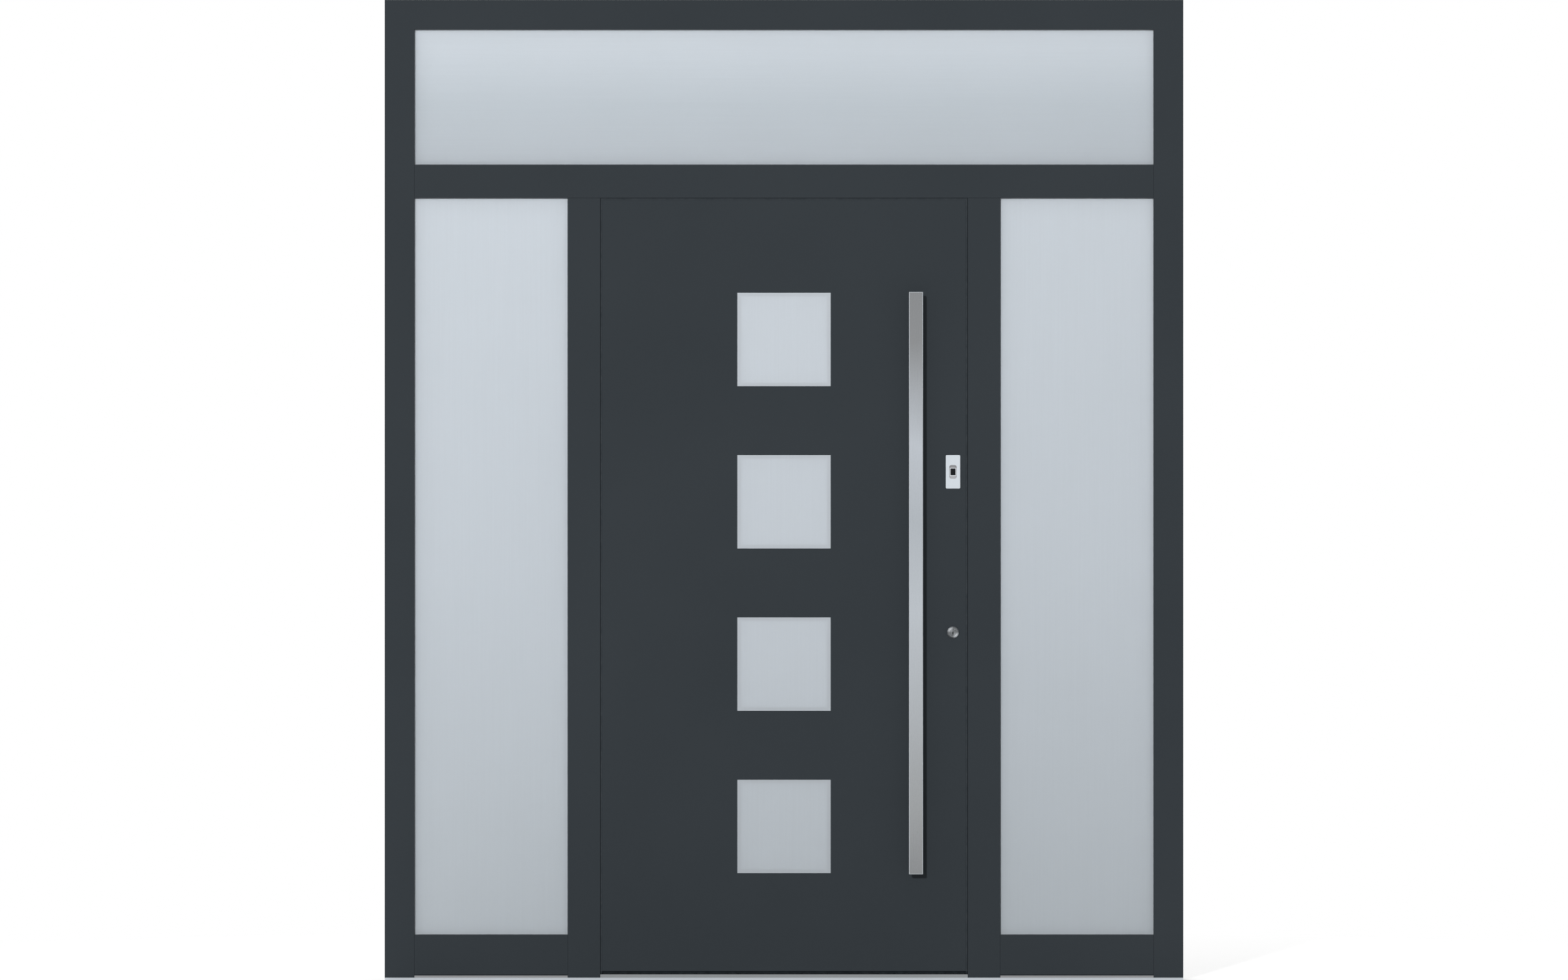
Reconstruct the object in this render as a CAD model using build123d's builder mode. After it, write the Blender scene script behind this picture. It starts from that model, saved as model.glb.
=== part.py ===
from build123d import *
import os
from collections import namedtuple

# Front door set, millimetres. X runs to the right seen from outside, Y runs inwards, Z runs up.
# The origin is in the middle of the underside of the base sill.
# "Depth" is always counted from the outside face of the frame inwards.

# Whole set
SET_WIDTH = 2200.0
SET_HEIGHT = 2700.0
FRAME_DEPTH = 90.0
DOOR_OPENING = 1012.0          # clear width between the faces of the mullions
TOP_LIGHT_HEIGHT = 372.0       # visible glass of the top light

# Frame bars: width of the visible face
FRAME_FACE = 82.0              # jambs and head, one profile
MULLION_FACE = 90.0
TRANSOM_FACE = 92.0
RAIL_FACE = 110.0              # bottom rail of a side light

# Frame bars: section
GLASS_LIP = 22.0               # lip that covers the edge of the glass
DOOR_LIP = 28.0                # lip that the leaf closes behind
LIP_DEPTH = 10.0
LIP_BEVEL = 2.0                # the door lip leans back so the opening leaf clears it
PROFILE_WALL = 2.5
EDGE_BEVEL = 1.0               # bevelled corners of the frame and leaf faces
BREAK_DEPTH = 30.0             # insulated zone between the outer and the inner half
GROOVE_WIDTH = 24.4            # hardware groove for faceplate and strike plates
GROOVE_DEPTH = 3.0
GROOVE_LINE = 64.0             # depth of the middle of the hardware groove

# Foot of the set
SILL_HEIGHT = 7.0
STRIP_HEIGHT = 6.0
STRIP_GROOVE_HEIGHT = 2.5
STRIP_GROOVE_DEPTH = 3.0
THRESHOLD_HEIGHT = 10.5
THRESHOLD_NOSE = 3.0           # bevel along the front edge of the threshold
THRESHOLD_RAMP = 14.0          # sloped inner edge of the threshold
THRESHOLD_RIBS = 5
RIB_WIDTH = 3.0
RIB_DEPTH = 1.0

# Wall anchors
ANCHOR_HOLE = 10.5
ANCHORS_UPRIGHT = 4            # anchors in each jamb
ANCHOR_END = 300.0             # end of a jamb to its nearest anchor
ANCHOR_HEAD_END = 450.0        # end of the head to its nearest anchor

# Glazing of the three lights
PANE = 6.0
PANE_GAP = 20.0
PANE_BITE = 15.0               # glass hidden behind the lip
OUTER_GASKET = 3.0
INNER_GASKET = 3.0
GASKET_WIDTH = 8.0
GASKET_SHOW = 1.0              # gasket that shows past the lip
SPACER_WIDTH = 8.0
SPACER_SETBACK = 3.0
BEAD_WALL = 2.0
BEAD_BEVEL = 3.0
BEAD_JOINT = 0.3

# Leaf
SEAM = 5.0                     # gap round the outer face of the leaf
REBATE_AIR = 8.0               # gap between the edge of the leaf and the frame tube
LEAF_FOOT_GAP = 7.5            # leaf above threshold
SKIN = 3.0
LEAF_STILE = 90.0
LEAF_RAIL = 90.0               # bottom rail
STOP_SEAL = 5.0
STOP_SEAL_WIDTH = 10.0
STOP_SEAL_SETBACK = 5.0
SEAL_AIR = 5.0
FOOT_SEAL = 2.5
FOOT_SEAL_WIDTH = 9.0
FOOT_SEAL_DEPTH = 6.0

# Leaf windows
WINDOW = 257.0
WINDOW_COUNT = 4
WINDOW_TOP_MARGIN = 256.0      # top of the leaf face to the first window
WINDOW_FOOT_MARGIN = 270.0     # foot of the leaf to the last window
WINDOW_JOINT = 2.0
WINDOW_UNIT = 46.0             # outer face to inner face of the glass unit
WINDOW_FRAME_WALL = 7.0
WINDOW_FRAME_FLANGE = 20.0
WINDOW_FRAME_PROUD = 2.0
WINDOW_SPACER = 10.0

# Pull bar
BAR_LENGTH = 1600.0
BAR_WIDTH = 38.0
BAR_DEPTH = 20.0
BAR_CLEAR = 45.0               # hand room behind the bar
BAR_EDGE = 138.3               # edge of the leaf face to the middle of the bar
BAR_BEVEL = 1.5
STANDOFF_DIAMETER = 20.0
STANDOFF_SPACING = 1200.0

# Lock, lever and reader share one upright line on the leaf
LOCK_BACKSET = 60.5            # lock edge of the leaf to that line
LEVER_HEIGHT = 1050.0
LOCK_DISTANCE = 92.0           # lever axis to cylinder axis
CYLINDER_DIAMETER = 17.0
CYLINDER_WEB = 10.0
CYLINDER_HEIGHT = 33.0
CYLINDER_NOSE = 6.0            # round nose proud of the leaf
CYLINDER_AIR = 0.4
KEYWAY_WIDTH = 2.6
KEYWAY_HEIGHT = 8.0
KEYWAY_DEPTH = 12.0
OUTER_ROSE = 32.0
OUTER_ROSE_HEIGHT = 8.0
ROSE_BEVEL = 3.0
INNER_ROSE = 52.0
INNER_ROSE_HEIGHT = 8.0
ROSE_EDGE = 1.5
LEVER_NECK = 20.0
LEVER_NECK_LENGTH = 18.0
LEVER_REACH = 55.0             # leaf face to the middle of the lever grip
LEVER_LENGTH = 130.0
LEVER_HEIGHT_OF_GRIP = 20.0
LEVER_THICKNESS = 10.0
LEVER_BEND = 14.0
LEVER_EDGE = 2.0
READER_WIDTH = 40.0
READER_HEIGHT = 92.5
READER_PROUD = 4.0
READER_MIDDLE = 1400.0
READER_CORNER = 3.5
READER_EDGE = 1.0
READER_BODY_WIDTH = 30.0
READER_BODY_HEIGHT = 76.0
READER_BODY_DEPTH = 16.0
READER_AIR = 0.5
READER_DISH_WIDTH = 20.0
READER_DISH_HEIGHT = 37.0
READER_DISH_DEPTH = 2.5
READER_DISH_TAPER = 20.0       # lean of the walls of the dish, in degrees
SENSOR_WIDTH = 14.0
SENSOR_HEIGHT = 18.5
SENSOR_THICKNESS = 1.2

# Lock edge
FACEPLATE_TOP_MARGIN = 224.0   # top of the leaf to the faceplate
FACEPLATE_FOOT_MARGIN = 185.0  # foot of the leaf to the faceplate
PLATE_AIR = 0.2
BOLT_WIDTH = 14.0
BOLT_PROUD = 1.5
HOOK_LENGTH = 60.0
HOOK_END = 150.0               # end of the faceplate to the middle of a hook bolt
LATCH_LENGTH = 32.0
LATCH_RISE = 22.0              # latch above the lever
DEADBOLT_LENGTH = 40.0
DEADBOLT_RISE = 28.0           # deadbolt above the cylinder
BOLT_AIR = 0.3
STRIKE_BORDER = 30.0
STRIKE_SLOT_AIR = 3.0

# Hinges
HINGE_COUNT = 3
HINGE_TOP_MARGIN = 274.0       # top of the leaf to the middle of the first hinge
HINGE_FOOT_MARGIN = 275.0      # foot of the leaf to the middle of the last hinge
HINGE_HEIGHT = 120.0
HINGE_BARREL = 20.0
HINGE_PIN = 12.0
HINGE_PIN_AIR = 0.1
HINGE_OFFSET = 16.0            # axis above the inside face
HINGE_WING = 7.0
HINGE_WING_WIDTH = 30.0
HINGE_WING_START = 12.0        # axis to the nearest edge of a wing
HINGE_WING_CORNER = 4.0
HINGE_EDGE = 1.5
KNUCKLE_AIR = 0.6

# Heights, widths and depths that follow from the sizes above
FRONT = -FRAME_DEPTH / 2
BACK = FRAME_DEPTH / 2
HALF = SET_WIDTH / 2
DOOR_HALF = DOOR_OPENING / 2
LIGHT_OUTER = HALF - FRAME_FACE
LIGHT_INNER = DOOR_HALF + MULLION_FACE
JAMB_TUBE = LIGHT_OUTER + GLASS_LIP
MULLION_TUBE_LIGHT = LIGHT_INNER - GLASS_LIP
MULLION_TUBE_DOOR = DOOR_HALF + DOOR_LIP
HEAD_BOTTOM = SET_HEIGHT - FRAME_FACE
TRANSOM_TOP = HEAD_BOTTOM - TOP_LIGHT_HEIGHT
TRANSOM_BOTTOM = TRANSOM_TOP - TRANSOM_FACE
TRANSOM_TUBE_DOOR = TRANSOM_BOTTOM + DOOR_LIP
RAIL_BOTTOM = SILL_HEIGHT + STRIP_HEIGHT + STRIP_GROOVE_HEIGHT
RAIL_TOP = RAIL_BOTTOM + RAIL_FACE
THRESHOLD_TOP = SILL_HEIGHT + THRESHOLD_HEIGHT
LEAF_BOTTOM = THRESHOLD_TOP + LEAF_FOOT_GAP
LEAF_FACE_HALF = DOOR_HALF - SEAM
LEAF_FACE_TOP = TRANSOM_BOTTOM - SEAM
LEAF_HALF = MULLION_TUBE_DOOR - REBATE_AIR
LEAF_TOP = TRANSOM_TUBE_DOOR - REBATE_AIR
LEAF_STEP = LEAF_HALF - LEAF_FACE_HALF
STEP_DEPTH = LIP_DEPTH + STOP_SEAL + SEAL_AIR
CORE_HALF = LEAF_HALF - LEAF_STILE
CORE_TOP = LEAF_TOP - LEAF_STILE
CORE_BOTTOM = LEAF_BOTTOM + LEAF_RAIL
CORE_END = FRAME_DEPTH - SKIN
PANE_START = LIP_DEPTH + OUTER_GASKET
INNER_PANE_START = PANE_START + PANE + PANE_GAP
GASKET_START = INNER_PANE_START + PANE
BEAD_START = GASKET_START + INNER_GASKET
BREAK_END = LIP_DEPTH + BREAK_DEPTH
BAR_X = LEAF_FACE_HALF - BAR_EDGE
LOCK_X = LEAF_HALF - LOCK_BACKSET
CYLINDER_Z = LEVER_HEIGHT - LOCK_DISTANCE
GROOVE_Y = FRONT + GROOVE_LINE
HINGE_X = -(MULLION_TUBE_DOOR + LEAF_HALF) / 2
HINGE_Y = BACK + HINGE_OFFSET

Light = namedtuple("Light", "left right bottom top rebate_left rebate_right rebate_bottom rebate_top")

TOP_LIGHT = Light(
    -LIGHT_OUTER, LIGHT_OUTER, TRANSOM_TOP, HEAD_BOTTOM, GLASS_LIP, GLASS_LIP, GLASS_LIP, GLASS_LIP
)
LEFT_LIGHT = Light(
    -LIGHT_OUTER, -LIGHT_INNER, RAIL_TOP, TRANSOM_BOTTOM, GLASS_LIP, GLASS_LIP, GLASS_LIP, DOOR_LIP
)
RIGHT_LIGHT = Light(
    LIGHT_INNER, LIGHT_OUTER, RAIL_TOP, TRANSOM_BOTTOM, GLASS_LIP, GLASS_LIP, GLASS_LIP, DOOR_LIP
)

# Rows of windows and hinges, from the lowest up
LAST_WINDOW = LEAF_BOTTOM + WINDOW_FOOT_MARGIN + WINDOW / 2
FIRST_WINDOW = LEAF_FACE_TOP - WINDOW_TOP_MARGIN - WINDOW / 2
WINDOW_PITCH = (FIRST_WINDOW - LAST_WINDOW) / (WINDOW_COUNT - 1)
WINDOW_HEIGHTS = [LAST_WINDOW + row * WINDOW_PITCH for row in range(WINDOW_COUNT)]
BAR_MIDDLE = (FIRST_WINDOW + LAST_WINDOW) / 2

LAST_HINGE = LEAF_BOTTOM + HINGE_FOOT_MARGIN
HINGE_PITCH = (LEAF_TOP - HINGE_TOP_MARGIN - LAST_HINGE) / (HINGE_COUNT - 1)
HINGE_HEIGHTS = [LAST_HINGE + row * HINGE_PITCH for row in range(HINGE_COUNT)]

ANCHOR_PITCH = (SET_HEIGHT - 2 * ANCHOR_END) / (ANCHORS_UPRIGHT - 1)

# Faceplate and bolts in the lock edge: height of the middle and length of each bolt
FACEPLATE_TOP = LEAF_TOP - FACEPLATE_TOP_MARGIN
FACEPLATE_FOOT = LEAF_BOTTOM + FACEPLATE_FOOT_MARGIN
UPPER_HOOK = (FACEPLATE_TOP - HOOK_END, HOOK_LENGTH)
LATCH = (LEVER_HEIGHT + LATCH_RISE, LATCH_LENGTH)
DEADBOLT = (CYLINDER_Z + DEADBOLT_RISE, DEADBOLT_LENGTH)
LOWER_HOOK = (FACEPLATE_FOOT + HOOK_END, HOOK_LENGTH)
BOLTS = [UPPER_HOOK, LATCH, DEADBOLT, LOWER_HOOK]

# Each strike plate takes the bolts from its first bolt up to its second
STRIKES = [(UPPER_HOOK, UPPER_HOOK), (DEADBOLT, LATCH), (LOWER_HOOK, LOWER_HOOK)]


def upright(x, z):
    """Plane for a section that runs upwards: its x is X and its y is the depth."""
    return Plane(origin=(x, FRONT, z), x_dir=(1, 0, 0), z_dir=(0, 0, 1))


def hanging(x, z):
    """Plane for a section that runs downwards: its x is -X and its y is the depth."""
    return Plane(origin=(x, FRONT, z), x_dir=(-1, 0, 0), z_dir=(0, 0, -1))


def rightward(x, z):
    """Plane for a section that runs to the right: its x is down and its y is the depth."""
    return Plane(origin=(x, FRONT, z), x_dir=(0, 0, -1), z_dir=(1, 0, 0))


def leftward(x, z):
    """Plane for a section that runs to the left: its x is up and its y is the depth."""
    return Plane(origin=(x, FRONT, z), x_dir=(0, 0, 1), z_dir=(-1, 0, 0))


def facing(depth):
    """Plane parallel to the outside face, seen from outside: its x is X and its y is Z."""
    return Plane(origin=(0, FRONT + depth, 0), x_dir=(1, 0, 0), z_dir=(0, -1, 0))


os.makedirs("parts", exist_ok=True)


def write(piece, name):
    piece.part.label = name
    export_step(piece.part, "parts/" + name + ".step")


def bar_section(plane, face, lip_low, lip_high, bevel=0.0, grooved=False):
    """Section of a frame bar: a flat hollow box under the visible face and a tube behind it.

    The box is wider than the tube and makes the lips. The tube has an insulated chamber and an
    inner chamber, and on the door side the hardware groove.
    """
    low = lip_low
    high = face - lip_high
    groove = GROOVE_DEPTH if grooved else 0.0
    with BuildSketch(plane) as section:
        with BuildLine():
            Polyline(
                (0, 0),
                (face, 0),
                (face - bevel, LIP_DEPTH),
                (0, LIP_DEPTH),
                close=True,
            )
        make_face()
        with Locations(((low + high) / 2, (LIP_DEPTH + FRAME_DEPTH) / 2)):
            Rectangle(high - low, FRAME_DEPTH - LIP_DEPTH)
        corners = section.vertices().group_by(Axis.Y)
        chamfer(corners[0] + corners[-1], length=EDGE_BEVEL)
        with Locations((PROFILE_WALL, PROFILE_WALL)):
            Rectangle(
                face - bevel - 2 * PROFILE_WALL,
                LIP_DEPTH - 2 * PROFILE_WALL,
                align=(Align.MIN, Align.MIN),
                mode=Mode.SUBTRACT,
            )
        with Locations((low + PROFILE_WALL, LIP_DEPTH)):
            Rectangle(
                high - low - 2 * PROFILE_WALL - groove,
                BREAK_DEPTH,
                align=(Align.MIN, Align.MIN),
                mode=Mode.SUBTRACT,
            )
        with Locations((low + PROFILE_WALL, BREAK_END + PROFILE_WALL)):
            Rectangle(
                high - low - 2 * PROFILE_WALL - groove,
                FRAME_DEPTH - BREAK_END - 2 * PROFILE_WALL,
                align=(Align.MIN, Align.MIN),
                mode=Mode.SUBTRACT,
            )
        if grooved:
            with Locations((high, GROOVE_LINE)):
                Rectangle(
                    GROOVE_DEPTH,
                    GROOVE_WIDTH,
                    align=(Align.MAX, Align.CENTER),
                    mode=Mode.SUBTRACT,
                )
    return section.sketch


def leaf_section(plane):
    """Section of a leaf stile: narrow behind the outer skin, wider behind the door lip."""
    narrow = LEAF_STILE - LEAF_STEP
    with BuildSketch(plane) as section:
        with BuildLine():
            Polyline(
                (0, SKIN),
                (narrow, SKIN),
                (narrow, STEP_DEPTH),
                (LEAF_STILE, STEP_DEPTH),
                (LEAF_STILE, CORE_END),
                (0, CORE_END),
                close=True,
            )
        make_face()
        with Locations((PROFILE_WALL, SKIN + PROFILE_WALL)):
            Rectangle(
                narrow - 2 * PROFILE_WALL,
                STEP_DEPTH - SKIN - 2 * PROFILE_WALL,
                align=(Align.MIN, Align.MIN),
                mode=Mode.SUBTRACT,
            )
        with Locations((PROFILE_WALL, STEP_DEPTH + PROFILE_WALL)):
            Rectangle(
                LEAF_STILE - 2 * PROFILE_WALL - GROOVE_DEPTH,
                BREAK_END - STEP_DEPTH - 2 * PROFILE_WALL,
                align=(Align.MIN, Align.MIN),
                mode=Mode.SUBTRACT,
            )
        with Locations((PROFILE_WALL, BREAK_END)):
            Rectangle(
                LEAF_STILE - 2 * PROFILE_WALL - GROOVE_DEPTH,
                CORE_END - BREAK_END - PROFILE_WALL,
                align=(Align.MIN, Align.MIN),
                mode=Mode.SUBTRACT,
            )
        with Locations((LEAF_STILE, GROOVE_LINE)):
            Rectangle(
                GROOVE_DEPTH,
                GROOVE_WIDTH,
                align=(Align.MAX, Align.CENTER),
                mode=Mode.SUBTRACT,
            )
    return section.sketch


def cylinder_outline(plane, air):
    """Outline of a profile cylinder: a round top with a narrow web below it."""
    drop = CYLINDER_HEIGHT - CYLINDER_DIAMETER / 2
    with BuildSketch(plane) as outline:
        with Locations((LOCK_X, CYLINDER_Z)):
            Circle(CYLINDER_DIAMETER / 2 + air)
        with Locations((LOCK_X, CYLINDER_Z - drop / 2 - air / 2)):
            Rectangle(CYLINDER_WEB + 2 * air, drop + air)
    return outline.sketch


def glass_ring(light, depth, thickness, outside, inside):
    """Ring round a light, from so far outside its visible edge to so far inside it."""
    width = light.right - light.left
    height = light.top - light.bottom
    with BuildSketch(facing(depth)) as ring:
        with Locations(((light.left + light.right) / 2, (light.bottom + light.top) / 2)):
            Rectangle(width + 2 * outside, height + 2 * outside)
            Rectangle(width - 2 * inside, height - 2 * inside, mode=Mode.SUBTRACT)
    with BuildPart() as solid:
        extrude(ring.sketch, amount=-thickness)
    return solid.part


def glass_pane(light, depth):
    width = light.right - light.left + 2 * PANE_BITE
    height = light.top - light.bottom + 2 * PANE_BITE
    with BuildPart() as pane:
        with BuildSketch(facing(depth)):
            with Locations(((light.left + light.right) / 2, (light.bottom + light.top) / 2)):
                Rectangle(width, height)
        extrude(amount=-PANE)
    return pane


def bead_section(plane, width):
    """Hollow glazing bead: flat against the tube, bevelled where it shows."""
    with BuildSketch(plane) as section:
        with BuildLine():
            Polyline(
                (0, BEAD_START),
                (width, BEAD_START),
                (width, FRAME_DEPTH - BEAD_BEVEL),
                (width - BEAD_BEVEL, FRAME_DEPTH),
                (0, FRAME_DEPTH),
                close=True,
            )
        make_face()
        with Locations((BEAD_WALL, BEAD_START + BEAD_WALL)):
            Rectangle(
                width - 2 * BEAD_WALL - BEAD_BEVEL / 2,
                FRAME_DEPTH - BEAD_START - 2 * BEAD_WALL - BEAD_BEVEL / 2,
                align=(Align.MIN, Align.MIN),
                mode=Mode.SUBTRACT,
            )
    return section.sketch


def glazing_beads(light):
    """Four beads: the top and bottom ones run through, the side ones stand between them."""
    left = light.left - light.rebate_left
    right = light.right + light.rebate_right
    bottom = light.bottom - light.rebate_bottom
    top = light.top + light.rebate_top
    side_length = light.top - light.bottom - 2 * BEAD_JOINT
    with BuildPart() as beads:
        extrude(bead_section(rightward(left, top), light.rebate_top), amount=right - left)
        extrude(bead_section(leftward(right, bottom), light.rebate_bottom), amount=right - left)
        extrude(
            bead_section(upright(left, light.bottom + BEAD_JOINT), light.rebate_left),
            amount=side_length,
        )
        extrude(
            bead_section(hanging(right, light.top - BEAD_JOINT), light.rebate_right),
            amount=side_length,
        )
    return beads


# Foot of the set

with BuildPart() as base_sill:
    with BuildSketch(rightward(-HALF, SILL_HEIGHT)):
        with Locations((SILL_HEIGHT / 2, FRAME_DEPTH / 2)):
            Rectangle(SILL_HEIGHT, FRAME_DEPTH)
    extrude(amount=SET_WIDTH)
write(base_sill, "base_sill")

# The threshold reaches behind the door lips of the mullions, so its front is notched at both ends.
with BuildPart() as door_threshold:
    with BuildSketch(rightward(-MULLION_TUBE_DOOR, THRESHOLD_TOP)):
        with BuildLine():
            Polyline(
                (THRESHOLD_NOSE / 2, 0),
                (0, THRESHOLD_NOSE),
                (0, FRAME_DEPTH - THRESHOLD_RAMP),
                (THRESHOLD_HEIGHT - PROFILE_WALL, FRAME_DEPTH),
                (THRESHOLD_HEIGHT, FRAME_DEPTH),
                (THRESHOLD_HEIGHT, 0),
                close=True,
            )
        make_face()
        # Two long chambers under the tread
        with Locations((PROFILE_WALL + RIB_DEPTH, PROFILE_WALL)):
            Rectangle(
                THRESHOLD_HEIGHT - 2 * PROFILE_WALL - RIB_DEPTH,
                BREAK_END - 2 * PROFILE_WALL,
                align=(Align.MIN, Align.MIN),
                mode=Mode.SUBTRACT,
            )
        with Locations((PROFILE_WALL + RIB_DEPTH, BREAK_END)):
            Rectangle(
                THRESHOLD_HEIGHT - 2 * PROFILE_WALL - RIB_DEPTH,
                FRAME_DEPTH - THRESHOLD_RAMP - BREAK_END - PROFILE_WALL,
                align=(Align.MIN, Align.MIN),
                mode=Mode.SUBTRACT,
            )
        # Grip grooves along the inner half of the tread
        for rib in range(THRESHOLD_RIBS):
            with Locations((0, BREAK_END + PROFILE_WALL + 2 * RIB_WIDTH * (rib - 0.5))):
                Rectangle(
                    RIB_DEPTH,
                    RIB_WIDTH,
                    align=(Align.MIN, Align.MIN),
                    mode=Mode.SUBTRACT,
                )
    extrude(amount=2 * MULLION_TUBE_DOOR)
    with BuildSketch(Plane.XY.offset(SILL_HEIGHT)):
        with Locations((-MULLION_TUBE_DOOR, FRONT), (DOOR_HALF, FRONT)):
            Rectangle(DOOR_LIP, LIP_DEPTH, align=(Align.MIN, Align.MIN))
    extrude(amount=THRESHOLD_HEIGHT, mode=Mode.SUBTRACT)
write(door_threshold, "door_threshold")

with BuildPart() as left_strip:
    with BuildSketch(rightward(-JAMB_TUBE, RAIL_BOTTOM)):
        with Locations((0, STRIP_GROOVE_DEPTH)):
            Rectangle(
                STRIP_HEIGHT + STRIP_GROOVE_HEIGHT,
                FRAME_DEPTH - STRIP_GROOVE_DEPTH,
                align=(Align.MIN, Align.MIN),
            )
        with Locations((STRIP_GROOVE_HEIGHT, 0)):
            Rectangle(STRIP_HEIGHT, STRIP_GROOVE_DEPTH, align=(Align.MIN, Align.MIN))
    extrude(amount=JAMB_TUBE - MULLION_TUBE_LIGHT)
    with BuildSketch(Plane.XY.offset(SILL_HEIGHT)):
        with Locations((-JAMB_TUBE, FRONT), (-LIGHT_INNER, FRONT)):
            Rectangle(GLASS_LIP, LIP_DEPTH, align=(Align.MIN, Align.MIN))
    extrude(amount=RAIL_BOTTOM - SILL_HEIGHT, mode=Mode.SUBTRACT)

with BuildPart() as sidelight_strips:
    add(left_strip.part)
    mirror(left_strip.part, about=Plane.YZ)
write(sidelight_strips, "sidelight_strips")

# Frame bars

# Upright cut through the top left corner of the frame, at 45 degrees
FRAME_MITRE = Plane(origin=(-HALF, 0, SET_HEIGHT), z_dir=(1, 0, 1))

with BuildPart() as left_jamb:
    extrude(
        bar_section(upright(-HALF, SILL_HEIGHT), FRAME_FACE, 0, GLASS_LIP),
        amount=SET_HEIGHT - SILL_HEIGHT,
    )
    split(bisect_by=FRAME_MITRE, keep=Keep.BOTTOM)
    # Anchor holes to the wall, through both walls of the inner chamber
    with BuildSketch(Plane.YZ.offset(-HALF)):
        with Locations((GROOVE_Y, SET_HEIGHT / 2)):
            with GridLocations(0, ANCHOR_PITCH, 1, ANCHORS_UPRIGHT):
                Circle(ANCHOR_HOLE / 2)
    extrude(amount=FRAME_FACE, mode=Mode.SUBTRACT)
write(left_jamb, "left_jamb")

with BuildPart() as right_jamb:
    mirror(left_jamb.part, about=Plane.YZ)
write(right_jamb, "right_jamb")

with BuildPart() as head_rail:
    extrude(
        bar_section(rightward(-HALF, SET_HEIGHT), FRAME_FACE, 0, GLASS_LIP),
        amount=SET_WIDTH,
    )
    split(bisect_by=FRAME_MITRE, keep=Keep.TOP)
    split(bisect_by=Plane(origin=(HALF, 0, SET_HEIGHT), z_dir=(-1, 0, 1)), keep=Keep.TOP)
    with BuildSketch(Plane.XY.offset(SET_HEIGHT)):
        with Locations((0, GROOVE_Y)):
            with GridLocations(SET_WIDTH - 2 * ANCHOR_HEAD_END, 0, 2, 1):
                Circle(ANCHOR_HOLE / 2)
    extrude(amount=-FRAME_FACE, mode=Mode.SUBTRACT)
write(head_rail, "head_rail")

# The transom bar stands between the jamb tubes and is notched round the jamb lips.
with BuildPart() as transom_bar:
    extrude(
        bar_section(
            rightward(-JAMB_TUBE, TRANSOM_TOP), TRANSOM_FACE, GLASS_LIP, DOOR_LIP, grooved=True
        ),
        amount=2 * JAMB_TUBE,
    )
    with BuildSketch(Plane.XY.offset(TRANSOM_BOTTOM)):
        with Locations((-JAMB_TUBE, FRONT), (LIGHT_OUTER, FRONT)):
            Rectangle(GLASS_LIP, LIP_DEPTH, align=(Align.MIN, Align.MIN))
    extrude(amount=TRANSOM_FACE, mode=Mode.SUBTRACT)
write(transom_bar, "transom_bar")

# A mullion stands on the sill and is notched at the top round the lip of the transom bar.
with BuildPart() as left_mullion:
    extrude(
        bar_section(
            upright(-LIGHT_INNER, SILL_HEIGHT),
            MULLION_FACE,
            GLASS_LIP,
            DOOR_LIP,
            bevel=LIP_BEVEL,
            grooved=True,
        ),
        amount=TRANSOM_TUBE_DOOR - SILL_HEIGHT,
    )
    with BuildSketch(Plane.XY.offset(TRANSOM_BOTTOM)):
        with Locations((-LIGHT_INNER, FRONT)):
            Rectangle(MULLION_FACE, LIP_DEPTH, align=(Align.MIN, Align.MIN))
    extrude(amount=DOOR_LIP, mode=Mode.SUBTRACT)
write(left_mullion, "left_mullion")

# The right mullion has slots behind the strike plates for the bolts.
with BuildPart() as right_mullion:
    mirror(left_mullion.part, about=Plane.YZ)
    with BuildSketch(Plane.YZ.offset(MULLION_TUBE_DOOR)):
        for middle, length in BOLTS:
            with Locations((GROOVE_Y, middle)):
                Rectangle(BOLT_WIDTH + 2 * STRIKE_SLOT_AIR, length + 2 * STRIKE_SLOT_AIR)
    extrude(amount=GROOVE_DEPTH + PROFILE_WALL, mode=Mode.SUBTRACT)
write(right_mullion, "right_mullion")

with BuildPart() as left_sidelight_rail:
    extrude(
        bar_section(rightward(-JAMB_TUBE, RAIL_TOP), RAIL_FACE, GLASS_LIP, 0),
        amount=JAMB_TUBE - MULLION_TUBE_LIGHT,
    )
    with BuildSketch(Plane.XY.offset(RAIL_BOTTOM)):
        with Locations((-JAMB_TUBE, FRONT), (-LIGHT_INNER, FRONT)):
            Rectangle(GLASS_LIP, LIP_DEPTH, align=(Align.MIN, Align.MIN))
    extrude(amount=RAIL_FACE, mode=Mode.SUBTRACT)
write(left_sidelight_rail, "left_sidelight_rail")

with BuildPart() as right_sidelight_rail:
    mirror(left_sidelight_rail.part, about=Plane.YZ)
write(right_sidelight_rail, "right_sidelight_rail")

# Glazing of the three lights

transom_outer_pane = glass_pane(TOP_LIGHT, PANE_START)
write(transom_outer_pane, "transom_outer_pane")
left_sidelight_outer_pane = glass_pane(LEFT_LIGHT, PANE_START)
write(left_sidelight_outer_pane, "left_sidelight_outer_pane")
right_sidelight_outer_pane = glass_pane(RIGHT_LIGHT, PANE_START)
write(right_sidelight_outer_pane, "right_sidelight_outer_pane")

with BuildPart() as light_inner_panes:
    for light in (TOP_LIGHT, LEFT_LIGHT, RIGHT_LIGHT):
        add(glass_pane(light, INNER_PANE_START).part)
write(light_inner_panes, "light_inner_panes")

with BuildPart() as light_spacers:
    for light in (TOP_LIGHT, LEFT_LIGHT, RIGHT_LIGHT):
        outside = PANE_BITE - SPACER_SETBACK
        add(glass_ring(light, PANE_START + PANE, PANE_GAP, outside, SPACER_WIDTH - outside))
write(light_spacers, "light_spacers")

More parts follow.
